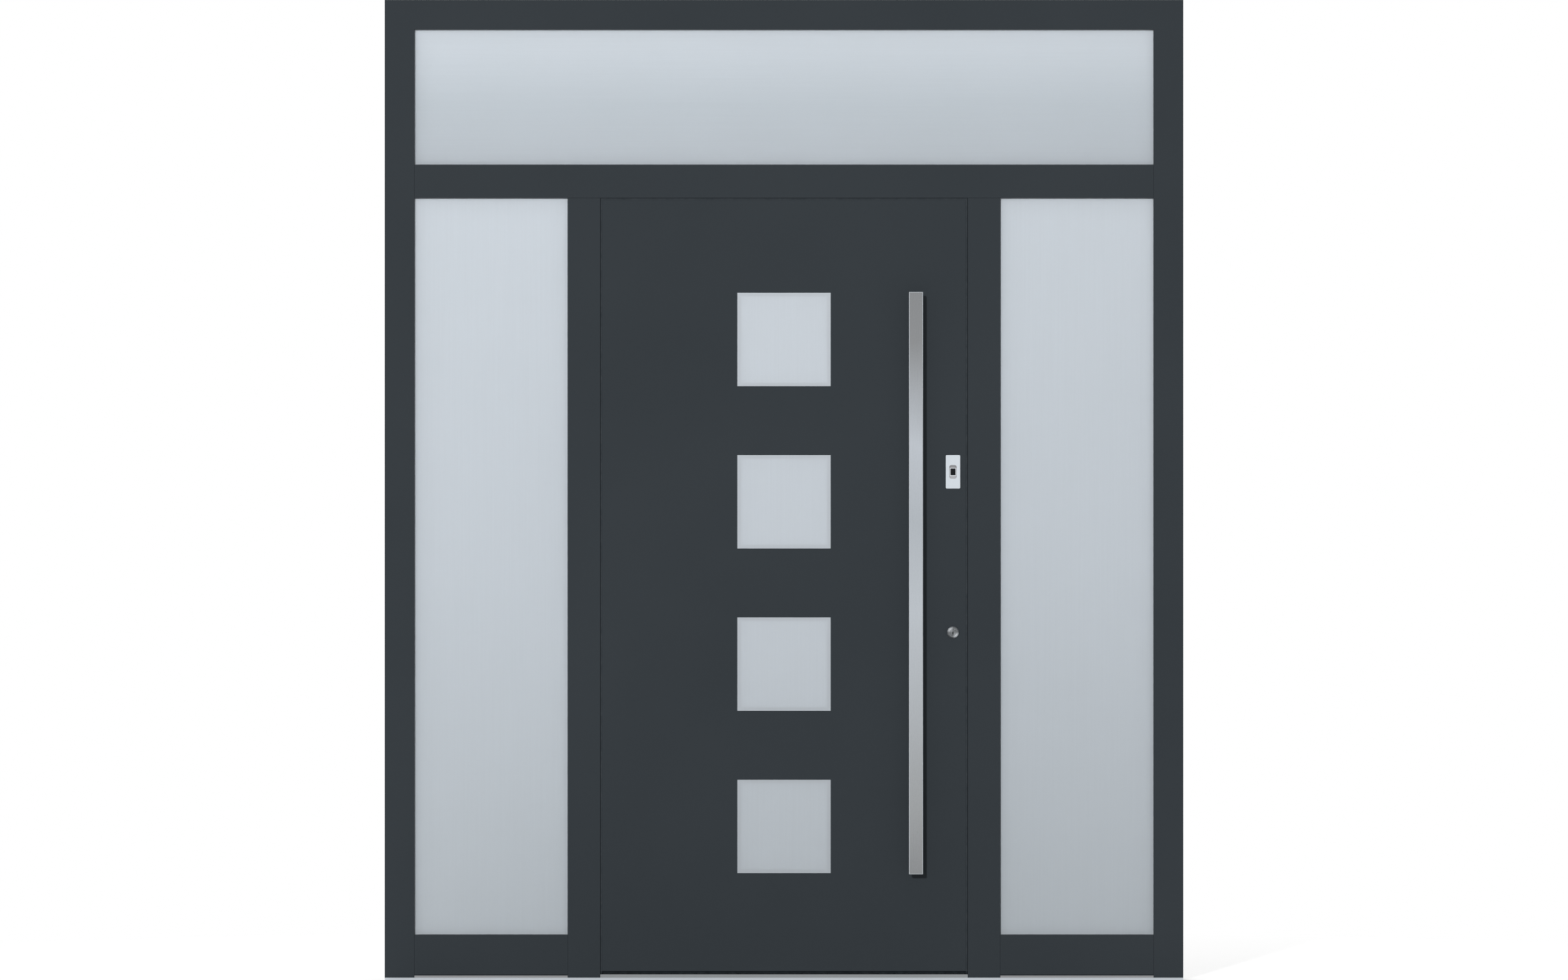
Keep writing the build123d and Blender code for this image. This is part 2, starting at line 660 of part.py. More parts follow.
with BuildPart() as glazing_gaskets:
    for light in (TOP_LIGHT, LEFT_LIGHT, RIGHT_LIGHT):
        add(glass_ring(light, LIP_DEPTH, OUTER_GASKET, GASKET_WIDTH - GASKET_SHOW, GASKET_SHOW))
        add(glass_ring(light, GASKET_START, INNER_GASKET, GASKET_WIDTH - GASKET_SHOW, GASKET_SHOW))
write(glazing_gaskets, "glazing_gaskets")

transom_glazing_beads = glazing_beads(TOP_LIGHT)
write(transom_glazing_beads, "transom_glazing_beads")
with BuildPart() as sidelight_glazing_beads:
    add(glazing_beads(LEFT_LIGHT).part)
    add(glazing_beads(RIGHT_LIGHT).part)
write(sidelight_glazing_beads, "sidelight_glazing_beads")

# Seal on the back of the door lips, that the leaf closes against
with BuildPart() as door_stop_seal:
    outer_half = DOOR_HALF + STOP_SEAL_SETBACK + STOP_SEAL_WIDTH
    outer_top = TRANSOM_BOTTOM + STOP_SEAL_SETBACK + STOP_SEAL_WIDTH
    with BuildSketch(facing(LIP_DEPTH)):
        with Locations((0, THRESHOLD_TOP)):
            Rectangle(2 * outer_half, outer_top - THRESHOLD_TOP, align=(Align.CENTER, Align.MIN))
            Rectangle(
                2 * (outer_half - STOP_SEAL_WIDTH),
                outer_top - STOP_SEAL_WIDTH - THRESHOLD_TOP,
                align=(Align.CENTER, Align.MIN),
                mode=Mode.SUBTRACT,
            )
    extrude(amount=-STOP_SEAL)
write(door_stop_seal, "door_stop_seal")

# Leaf

with BuildPart() as leaf_outer_skin:
    with BuildSketch(facing(0)):
        with Locations((0, LEAF_BOTTOM)):
            Rectangle(
                2 * LEAF_FACE_HALF, LEAF_FACE_TOP - LEAF_BOTTOM, align=(Align.CENTER, Align.MIN)
            )
        for height in WINDOW_HEIGHTS:
            with Locations((0, height)):
                Rectangle(
                    WINDOW + 2 * WINDOW_JOINT, WINDOW + 2 * WINDOW_JOINT, mode=Mode.SUBTRACT
                )
        with Locations((LOCK_X, CYLINDER_Z)):
            Circle(CYLINDER_DIAMETER / 2 + CYLINDER_AIR, mode=Mode.SUBTRACT)
        with Locations((LOCK_X, READER_MIDDLE)):
            Rectangle(
                READER_BODY_WIDTH + 2 * READER_AIR,
                READER_BODY_HEIGHT + 2 * READER_AIR,
                mode=Mode.SUBTRACT,
            )
    extrude(amount=-SKIN)
    outline = leaf_outer_skin.faces().sort_by(Axis.Y)[0].outer_wire()
    chamfer(outline.edges(), length=EDGE_BEVEL)
write(leaf_outer_skin, "leaf_outer_skin")

with BuildPart() as leaf_inner_skin:
    with BuildSketch(facing(CORE_END)):
        with Locations((0, LEAF_BOTTOM)):
            Rectangle(2 * LEAF_HALF, LEAF_TOP - LEAF_BOTTOM, align=(Align.CENTER, Align.MIN))
        for height in WINDOW_HEIGHTS:
            with Locations((0, height)):
                Rectangle(
                    WINDOW + 2 * WINDOW_JOINT, WINDOW + 2 * WINDOW_JOINT, mode=Mode.SUBTRACT
                )
        add(cylinder_outline(Plane.XY, CYLINDER_AIR), mode=Mode.SUBTRACT)
    extrude(amount=-SKIN)
    outline = leaf_inner_skin.faces().sort_by(Axis.Y)[-1].outer_wire()
    chamfer(outline.edges(), length=EDGE_BEVEL)
write(leaf_inner_skin, "leaf_inner_skin")

# Upright cut through the top right corner of the leaf, at 45 degrees
LEAF_MITRE = Plane(origin=(LEAF_HALF, 0, LEAF_TOP), z_dir=(-1, 0, 1))

with BuildPart() as plain_stile:
    extrude(leaf_section(upright(CORE_HALF, LEAF_BOTTOM)), amount=LEAF_TOP - LEAF_BOTTOM)
    split(bisect_by=LEAF_MITRE, keep=Keep.BOTTOM)

with BuildPart() as leaf_hinge_stile:
    mirror(plain_stile.part, about=Plane.YZ)
write(leaf_hinge_stile, "leaf_hinge_stile")

with BuildPart() as leaf_lock_stile:
    add(plain_stile.part)
    extrude(cylinder_outline(facing(SKIN), CYLINDER_AIR), amount=SKIN - CORE_END, mode=Mode.SUBTRACT)
    with BuildSketch(facing(SKIN)):
        with Locations((LOCK_X, READER_MIDDLE)):
            Rectangle(READER_BODY_WIDTH + 2 * READER_AIR, READER_BODY_HEIGHT + 2 * READER_AIR)
    extrude(amount=SKIN - READER_BODY_DEPTH - READER_AIR, mode=Mode.SUBTRACT)
write(leaf_lock_stile, "leaf_lock_stile")

with BuildPart() as leaf_top_rail:
    extrude(leaf_section(leftward(LEAF_HALF, CORE_TOP)), amount=2 * LEAF_HALF)
    split(bisect_by=LEAF_MITRE, keep=Keep.TOP)
    split(bisect_by=Plane(origin=(-LEAF_HALF, 0, LEAF_TOP), z_dir=(1, 0, 1)), keep=Keep.TOP)
write(leaf_top_rail, "leaf_top_rail")

with BuildPart() as leaf_bottom_rail:
    with BuildSketch(rightward(-CORE_HALF, CORE_BOTTOM)):
        with Locations((0, SKIN)):
            Rectangle(LEAF_RAIL, CORE_END - SKIN, align=(Align.MIN, Align.MIN))
        with Locations((PROFILE_WALL, SKIN + PROFILE_WALL)):
            Rectangle(
                LEAF_RAIL - 2 * PROFILE_WALL,
                BREAK_END - SKIN - 2 * PROFILE_WALL,
                align=(Align.MIN, Align.MIN),
                mode=Mode.SUBTRACT,
            )
        with Locations((PROFILE_WALL, BREAK_END)):
            Rectangle(
                LEAF_RAIL - 2 * PROFILE_WALL,
                CORE_END - BREAK_END - PROFILE_WALL,
                align=(Align.MIN, Align.MIN),
                mode=Mode.SUBTRACT,
            )
    extrude(amount=2 * CORE_HALF)
write(leaf_bottom_rail, "leaf_bottom_rail")

with BuildPart() as leaf_core:
    with BuildSketch(facing(SKIN)):
        with Locations((0, CORE_BOTTOM)):
            Rectangle(2 * CORE_HALF, CORE_TOP - CORE_BOTTOM, align=(Align.CENTER, Align.MIN))
        for height in WINDOW_HEIGHTS:
            with Locations((0, height)):
                Rectangle(
                    WINDOW + 2 * WINDOW_JOINT, WINDOW + 2 * WINDOW_JOINT, mode=Mode.SUBTRACT
                )
    extrude(amount=SKIN - CORE_END)
write(leaf_core, "leaf_core")

with BuildPart() as leaf_bottom_seal:
    with BuildSketch(rightward(-LEAF_FACE_HALF, LEAF_BOTTOM)):
        with Locations((0, FOOT_SEAL_DEPTH)):
            Rectangle(FOOT_SEAL, FOOT_SEAL_WIDTH, align=(Align.MIN, Align.MIN))
    extrude(amount=2 * LEAF_FACE_HALF)
write(leaf_bottom_seal, "leaf_bottom_seal")

# Leaf windows: the outer pane is flush with the skin, the inner frame lines the reveal.

with BuildPart() as leaf_outer_panes:
    with BuildSketch(facing(0)):
        for height in WINDOW_HEIGHTS:
            with Locations((0, height)):
                Rectangle(WINDOW, WINDOW)
    extrude(amount=-PANE)
write(leaf_outer_panes, "leaf_outer_panes")

with BuildPart() as leaf_inner_panes:
    with BuildSketch(facing(WINDOW_UNIT - PANE)):
        for height in WINDOW_HEIGHTS:
            with Locations((0, height)):
                Rectangle(WINDOW, WINDOW)
    extrude(amount=-PANE)
write(leaf_inner_panes, "leaf_inner_panes")

with BuildPart() as leaf_pane_spacers:
    with BuildSketch(facing(PANE)):
        for height in WINDOW_HEIGHTS:
            with Locations((0, height)):
                Rectangle(WINDOW, WINDOW)
                Rectangle(
                    WINDOW - 2 * WINDOW_SPACER, WINDOW - 2 * WINDOW_SPACER, mode=Mode.SUBTRACT
                )
    extrude(amount=2 * PANE - WINDOW_UNIT)
write(leaf_pane_spacers, "leaf_pane_spacers")

with BuildPart() as leaf_window_seals:
    with BuildSketch(facing(0)):
        for height in WINDOW_HEIGHTS:
            with Locations((0, height)):
                Rectangle(WINDOW + 2 * WINDOW_JOINT, WINDOW + 2 * WINDOW_JOINT)
                Rectangle(WINDOW, WINDOW, mode=Mode.SUBTRACT)
    extrude(amount=-PANE)
write(leaf_window_seals, "leaf_window_seals")

with BuildPart() as leaf_window_frames:
    reveal = WINDOW + 2 * WINDOW_JOINT - 2 * WINDOW_FRAME_WALL
    with BuildSketch(facing(WINDOW_UNIT)):
        for height in WINDOW_HEIGHTS:
            with Locations((0, height)):
                Rectangle(WINDOW + 2 * WINDOW_JOINT, WINDOW + 2 * WINDOW_JOINT)
                Rectangle(reveal, reveal, mode=Mode.SUBTRACT)
    extrude(amount=WINDOW_UNIT - FRAME_DEPTH)
    with BuildSketch(facing(FRAME_DEPTH)):
        for height in WINDOW_HEIGHTS:
            with Locations((0, height)):
                Rectangle(reveal + 2 * WINDOW_FRAME_FLANGE, reveal + 2 * WINDOW_FRAME_FLANGE)
                Rectangle(reveal, reveal, mode=Mode.SUBTRACT)
    extrude(amount=-WINDOW_FRAME_PROUD)
    fronts = leaf_window_frames.faces().group_by(Axis.Y)[-1]
    chamfer(fronts.edges(), length=WINDOW_FRAME_PROUD / 2)
write(leaf_window_frames, "leaf_window_frames")

# Pull bar

with BuildPart() as pull_bar:
    with BuildSketch(facing(-BAR_CLEAR)):
        with Locations((BAR_X, BAR_MIDDLE)):
            Rectangle(BAR_WIDTH, BAR_LENGTH)
    extrude(amount=BAR_DEPTH)
    chamfer(pull_bar.faces().sort_by(Axis.Y)[0].edges(), length=BAR_BEVEL)
write(pull_bar, "pull_bar")

with BuildPart() as pull_bar_standoffs:
    with BuildSketch(facing(0)):
        with Locations((BAR_X, BAR_MIDDLE)):
            with GridLocations(0, STANDOFF_SPACING, 1, 2):
                Circle(STANDOFF_DIAMETER / 2)
    extrude(amount=BAR_CLEAR)
write(pull_bar_standoffs, "pull_bar_standoffs")

# Fingerprint reader: a plate on the skin, its body let into the stile

with BuildPart() as reader_housing:
    with BuildSketch(facing(0)):
        with Locations((LOCK_X, READER_MIDDLE)):
            RectangleRounded(READER_WIDTH, READER_HEIGHT, READER_CORNER)
    extrude(amount=READER_PROUD)
    with BuildSketch(facing(0)):
        with Locations((LOCK_X, READER_MIDDLE)):
            Rectangle(READER_BODY_WIDTH, READER_BODY_HEIGHT)
    extrude(amount=-READER_BODY_DEPTH)
    chamfer(reader_housing.faces().sort_by(Axis.Y)[0].edges(), length=READER_EDGE)
    with BuildSketch(facing(-READER_PROUD)):
        with Locations((LOCK_X, READER_MIDDLE)):
            RectangleRounded(READER_DISH_WIDTH, READER_DISH_HEIGHT, READER_DISH_WIDTH / 4)
    extrude(amount=-READER_DISH_DEPTH, taper=READER_DISH_TAPER, mode=Mode.SUBTRACT)
write(reader_housing, "reader_housing")

with BuildPart() as reader_sensor:
    with BuildSketch(facing(READER_DISH_DEPTH - READER_PROUD)):
        with Locations((LOCK_X, READER_MIDDLE)):
            Rectangle(SENSOR_WIDTH, SENSOR_HEIGHT)
    extrude(amount=SENSOR_THICKNESS)
write(reader_sensor, "reader_sensor")

# Lock cylinder, roses and lever

with BuildPart() as lock_cylinder:
    extrude(cylinder_outline(facing(SKIN + CYLINDER_AIR), 0), amount=SKIN + CYLINDER_AIR - FRAME_DEPTH)
    with BuildSketch(facing(-CYLINDER_NOSE)):
        with Locations((LOCK_X, CYLINDER_Z)):
            Circle(CYLINDER_DIAMETER / 2)
    extrude(amount=-(FRAME_DEPTH + 2 * CYLINDER_NOSE))
    # Key slots from both sides
    with BuildSketch(facing(-CYLINDER_NOSE)):
        with Locations((LOCK_X, CYLINDER_Z - KEYWAY_HEIGHT / 4)):
            Rectangle(KEYWAY_WIDTH, KEYWAY_HEIGHT)
    extrude(amount=-KEYWAY_DEPTH, mode=Mode.SUBTRACT)
    with BuildSketch(facing(FRAME_DEPTH + CYLINDER_NOSE)):
        with Locations((LOCK_X, CYLINDER_Z - KEYWAY_HEIGHT / 4)):
            Rectangle(KEYWAY_WIDTH, KEYWAY_HEIGHT)
    extrude(amount=KEYWAY_DEPTH, mode=Mode.SUBTRACT)
write(lock_cylinder, "lock_cylinder")

with BuildPart() as lock_roses:
    # Outside: a bevelled ring round the nose of the cylinder
    with BuildSketch(facing(0)):
        with Locations((LOCK_X, CYLINDER_Z)):
            Circle(OUTER_ROSE / 2)
    extrude(amount=OUTER_ROSE_HEIGHT)
    chamfer(lock_roses.faces().sort_by(Axis.Y)[0].edges(), length=ROSE_BEVEL)
    with BuildSketch(facing(0)):
        with Locations((LOCK_X, CYLINDER_Z)):
            Circle(CYLINDER_DIAMETER / 2 + CYLINDER_AIR)
    extrude(amount=OUTER_ROSE_HEIGHT, mode=Mode.SUBTRACT)
    # Inside: one rose for the cylinder and one for the lever
    with BuildSketch(facing(FRAME_DEPTH)):
        with Locations((LOCK_X, CYLINDER_Z)):
            Circle(INNER_ROSE / 2)
            Circle(CYLINDER_DIAMETER / 2 + CYLINDER_AIR, mode=Mode.SUBTRACT)
        with Locations((LOCK_X, LEVER_HEIGHT)):
            Circle(INNER_ROSE / 2)
            Circle(LEVER_NECK / 2 + CYLINDER_AIR, mode=Mode.SUBTRACT)
    extrude(amount=-INNER_ROSE_HEIGHT)
    inner_faces = lock_roses.faces().group_by(Axis.Y)[-1]
    for rose_face in inner_faces:
        chamfer(rose_face.outer_wire().edges(), length=ROSE_EDGE)
write(lock_roses, "lock_roses")

# The lever has a round neck and a flat grip that bends towards the hinges.
with BuildPart() as lever_handle:
    with BuildSketch(facing(FRAME_DEPTH)):
        with Locations((LOCK_X, LEVER_HEIGHT)):
            Circle(LEVER_NECK / 2)
    extrude(amount=-LEVER_NECK_LENGTH)
    with BuildLine() as grip_path:
        FilletPolyline(
            (LOCK_X, BACK + LEVER_NECK_LENGTH, LEVER_HEIGHT),
            (LOCK_X, BACK + LEVER_REACH, LEVER_HEIGHT),
            (LOCK_X - LEVER_LENGTH, BACK + LEVER_REACH, LEVER_HEIGHT),
            radius=LEVER_BEND,
        )
    with BuildSketch(facing(FRAME_DEPTH + LEVER_NECK_LENGTH)) as grip:
        with Locations((LOCK_X, LEVER_HEIGHT)):
            Rectangle(LEVER_THICKNESS, LEVER_HEIGHT_OF_GRIP)
        chamfer(grip.vertices(), length=LEVER_EDGE)
    sweep(path=grip_path.line)
    chamfer(lever_handle.faces().sort_by(Axis.X)[0].edges(), length=LEVER_EDGE / 2)
write(lever_handle, "lever_handle")

# Lock edge: faceplate in the hardware groove of the stile, strike plates in that of the mullion

with BuildPart() as lock_faceplate:
    with BuildSketch(Plane.YZ.offset(LEAF_HALF)):
        with Locations((GROOVE_Y, (FACEPLATE_FOOT + FACEPLATE_TOP) / 2)):
            Rectangle(GROOVE_WIDTH - 2 * PLATE_AIR, FACEPLATE_TOP - FACEPLATE_FOOT)
        for middle, length in BOLTS:
            with Locations((GROOVE_Y, middle)):
                Rectangle(
                    BOLT_WIDTH + 2 * BOLT_AIR, length + 2 * BOLT_AIR, mode=Mode.SUBTRACT
                )
    extrude(amount=-GROOVE_DEPTH)
write(lock_faceplate, "lock_faceplate")

with BuildPart() as lock_bolts:
    with BuildSketch(Plane.YZ.offset(LEAF_HALF - GROOVE_DEPTH)):
        for middle, length in BOLTS:
            with Locations((GROOVE_Y, middle)):
                Rectangle(BOLT_WIDTH, length)
    extrude(amount=GROOVE_DEPTH + BOLT_PROUD)
write(lock_bolts, "lock_bolts")

with BuildPart() as strike_plates:
    with BuildSketch(Plane.YZ.offset(MULLION_TUBE_DOOR)):
        for first, second in STRIKES:
            foot = first[0] - first[1] / 2 - STRIKE_BORDER
            top = second[0] + second[1] / 2 + STRIKE_BORDER
            with Locations((GROOVE_Y, (foot + top) / 2)):
                Rectangle(GROOVE_WIDTH - 2 * PLATE_AIR, top - foot)
        for middle, length in BOLTS:
            with Locations((GROOVE_Y, middle)):
                Rectangle(
                    BOLT_WIDTH + 2 * STRIKE_SLOT_AIR,
                    length + 2 * STRIKE_SLOT_AIR,
                    mode=Mode.SUBTRACT,
                )
    extrude(amount=GROOVE_DEPTH)
write(strike_plates, "strike_plates")

# Hinges: the frame part has the outer knuckles and the pin, the leaf part the middle knuckle.


def hinge_wing(side, height):
    """Flat wing on the inside face, to the left (-1) or to the right (1) of the axis."""
    middle = HINGE_X + side * (HINGE_WING_START + HINGE_WING_WIDTH / 2)
    with BuildPart() as wing:
        with BuildSketch(facing(FRAME_DEPTH)) as outline:
            with Locations((middle, height)):
                Rectangle(HINGE_WING_WIDTH, HINGE_HEIGHT)
            chamfer(outline.vertices(), length=HINGE_WING_CORNER)
        extrude(amount=-HINGE_WING)
        chamfer(wing.faces().sort_by(Axis.Y)[-1].edges(), length=HINGE_EDGE)
    return wing.part


def hinge_knuckle(side, low, high):
    """Barrel piece with the neck that joins it to its wing."""
    reach = HINGE_WING_START + HINGE_WING_WIDTH / 3
    with BuildPart() as knuckle:
        with BuildSketch(Plane.XY.offset(low)):
            with Locations((HINGE_X, HINGE_Y)):
                Circle(HINGE_BARREL / 2)
            with BuildLine():
                Polyline(
                    (HINGE_X + side * reach, BACK),
                    (HINGE_X + side * HINGE_BARREL / 3, BACK),
                    (HINGE_X, HINGE_Y - HINGE_BARREL / 3),
                    (HINGE_X, HINGE_Y + HINGE_BARREL / 3),
                    (HINGE_X + side * HINGE_BARREL / 3, HINGE_Y + HINGE_BARREL / 3),
                    (HINGE_X + side * reach, BACK + HINGE_WING),
                    close=True,
                )
            make_face()
        extrude(amount=high - low)
    return knuckle.part


with BuildPart() as hinge_frame_parts:
    for height in HINGE_HEIGHTS:
        low = height - HINGE_HEIGHT / 2
        high = height + HINGE_HEIGHT / 2
        add(hinge_wing(-1, height))
        add(hinge_knuckle(-1, low, low + HINGE_HEIGHT / 4))
        add(hinge_knuckle(-1, high - HINGE_HEIGHT / 4, high))
        with BuildSketch(Plane.XY.offset(low)):
            with Locations((HINGE_X, HINGE_Y)):
                Circle(HINGE_PIN / 2)
        extrude(amount=HINGE_HEIGHT)
write(hinge_frame_parts, "hinge_frame_parts")

with BuildPart() as hinge_leaf_parts:
    for height in HINGE_HEIGHTS:
        low = height - HINGE_HEIGHT / 4 + KNUCKLE_AIR
        high = height + HINGE_HEIGHT / 4 - KNUCKLE_AIR
        add(hinge_wing(1, height))
        add(hinge_knuckle(1, low, high))
        with BuildSketch(Plane.XY.offset(low)):
            with Locations((HINGE_X, HINGE_Y)):
                Circle(HINGE_PIN / 2 + HINGE_PIN_AIR)
        extrude(amount=high - low, mode=Mode.SUBTRACT)
write(hinge_leaf_parts, "hinge_leaf_parts")
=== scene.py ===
import math

import bmesh
import bpy
from mathutils import Matrix, Vector


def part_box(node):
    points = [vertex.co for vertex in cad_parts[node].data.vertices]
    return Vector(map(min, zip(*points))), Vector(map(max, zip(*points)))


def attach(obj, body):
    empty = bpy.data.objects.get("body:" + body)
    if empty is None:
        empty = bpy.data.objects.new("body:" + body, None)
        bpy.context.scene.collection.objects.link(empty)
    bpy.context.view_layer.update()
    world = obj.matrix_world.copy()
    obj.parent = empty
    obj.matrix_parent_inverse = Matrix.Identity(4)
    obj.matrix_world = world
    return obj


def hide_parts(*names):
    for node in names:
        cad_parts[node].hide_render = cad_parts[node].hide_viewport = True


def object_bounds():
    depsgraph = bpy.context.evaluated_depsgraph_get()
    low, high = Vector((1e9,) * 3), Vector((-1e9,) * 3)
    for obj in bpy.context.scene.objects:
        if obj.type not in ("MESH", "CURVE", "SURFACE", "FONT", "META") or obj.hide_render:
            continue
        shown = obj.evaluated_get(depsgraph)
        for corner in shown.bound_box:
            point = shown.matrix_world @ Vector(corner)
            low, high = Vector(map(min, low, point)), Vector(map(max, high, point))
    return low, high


# Front door set, metres. X runs to the right seen from outside, Y runs inwards, Z runs up.

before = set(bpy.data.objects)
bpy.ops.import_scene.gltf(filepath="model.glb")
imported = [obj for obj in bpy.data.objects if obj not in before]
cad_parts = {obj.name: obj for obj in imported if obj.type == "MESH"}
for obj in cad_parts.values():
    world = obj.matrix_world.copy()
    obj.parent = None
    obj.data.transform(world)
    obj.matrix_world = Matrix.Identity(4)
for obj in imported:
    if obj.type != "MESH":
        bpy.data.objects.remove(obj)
cad_low, cad_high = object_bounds()

# Photograph: the set fills its whole height, seen straight from the front
IMAGE_WIDTH = 2420
IMAGE_HEIGHT = 1512
IMAGE_BLEED = 0.7              # pixels of the set that fall outside the image, top and foot together
SENSOR = 36.0                  # width of the camera's sensor in millimetres
CAMERA_DISTANCE = 30.0         # so far out that the view is almost without perspective
CAMERA_REACH = 200.0

# Light
KEY_FROM = Vector((-0.185, -1.0, 0.21))
KEY_SHARE = 0.60               # share of the light on the outside face that comes from the key lamp
KEY_ANGLE = math.radians(1.5)
BACK_FROM = Vector((-0.5, 1.0, 0.8))
BACK_SHARE = 0.52
BACK_ANGLE = math.radians(40)
FILL = 0.42
FLOOR_RADIUS = 9.0
FLOOR_SEGMENTS = 128
FLOOR_FADE = (1.4, 3.4)        # the floor's shade fades to white between these distances
FLOOR_DROP = 0.0005            # floor under the sill, so that their faces stay apart
FLOOR_CATCH = 0.55             # how much of the floor's own shade the camera sees
FLOOR_GREY = 0.8               # the floor as it lights the door
FLOOR_WHITE = 1.12             # the floor as it is seen: white where no shade falls

# Small pieces
SCREW_PROUD = 0.0006
SCREW_RIM = 0.0003
SCREW_SEAT = 0.0005            # part of a head that is sunk in the piece it holds
SCREW_RECESS = 0.00045         # depth of the recess for the key
RECESS_SHARE = 0.45            # radius of the recess as a share of the head's
RECESS_TAPER = 0.9
HEAD_TAPER = 0.86
SCREW_SEGMENTS = 36
SCREW_LOBES = 6
LOBE_DEPTH = 0.16
PLATE_SCREW = 0.004            # radius of the heads in the lock's plates
HINGE_SCREW = 0.0045
GRUB_SCREW = 0.0025
BAR_GRUB_GAP = 0.010           # back of the pull bar to the screw in each standoff
LEVER_GRUB_GAP = 0.005         # inner rose to the screw in the lever's neck
LEVER_NECK = 0.010             # radius of that neck
PLUG_RING = (0.0060, 0.0066)   # inner and outer radius of the collar round the key plug
PLUG_RING_PROUD = 0.0003
PLATE_SCREW_END = 0.012        # end of a plate to its screw
HINGE_SCREW_ROWS = (-0.045, -0.015, 0.015, 0.045)
WING_SCREW_EDGE = 0.010        # outer edge of a hinge wing to its row of screws
WING_THICK = 0.007
HINGE_AXIS = Vector((-0.530, 0.061, 0.0))
HINGE_HEIGHTS = (0.300, 1.100, 1.900)
HINGE_HALF = 0.060
BARREL_RADIUS = 0.010
CAP_HEIGHT = 0.0045
CAP_PROFILE = (                # radius and height of the dome, as shares
    (1.0, 0.0), (1.0, 0.35), (0.93, 0.6), (0.7, 0.85), (0.35, 0.97), (0.05, 1.0),
)
ROUND_SEGMENTS = 48
SHARP_EDGE = math.radians(30)  # edges that turn by more stay sharp
RIM_WIDTH = 0.0020             # pale rim round the fingerprint sensor
RIM_CORNER = 0.0022
SENSOR_CORNER = 0.00055
RIM_PROUD = 0.0005
RIM_AIR = 0.0001               # sensor to the rim round it
CORNER_STEPS = 8
FOOT_LIP_THICK = 0.0022
FOOT_LIP_AIR = 0.00005         # foot lips above the threshold
FOOT_LIP_BEND = 0.001          # height over which a foot lip narrows to its tip
FOOT_LIP_BULGE = 1.2           # width above the tip and at the tip, as shares of the thickness
FOOT_LIP_TIP = 0.6
INNER_LIP_Y = 0.024            # second foot lip, under the inner half of the leaf
INNER_LIP_END = 0.002          # second foot lip short of the leaf's edges
STOP_SEAL_HALF = 0.005         # half the width of the stop seal
STOP_SEAL_FOOT = 0.0008        # thickness of the flat foot under the stop seal's bulb
STOP_SEAL_SHARE = 0.84         # width of the bulb as a share of its foot
BULB_STEPS = 12
CORD_INSET = 0.0006            # cord behind the front of its groove
CORD_HEIGHT = 0.0025
CORD_DEPTH = 0.0024
PANE_BITE = 0.015              # edge of a pane hidden behind the frame's lip
EDGE_GASKET_WIDE = 0.0044      # grey gasket round the leaf, which fills most of the seam
EDGE_GASKET_BACK = 0.0030      # its width at the back
EDGE_GASKET_INSET = 0.0008     # behind the face of the leaf
EDGE_GASKET_NOSE = 0.0025
EDGE_GASKET_DEPTH = 0.0080
EDGE_GASKET_ROUND = 0.0004
EDGE_GASKET_ROOT = 0.0005      # sunk in the edge of the leaf


def srgb(red, green, blue):
    """Linear colour for the 0 to 255 levels that a screen shows."""
    shares = [level / 255 for level in (red, green, blue)]
    linear = [s / 12.92 if s <= 0.04045 else ((s + 0.055) / 1.055) ** 2.4 for s in shares]
    return (*linear, 1.0)


# Materials

NOISE_RANGE = (0.3, 0.7)


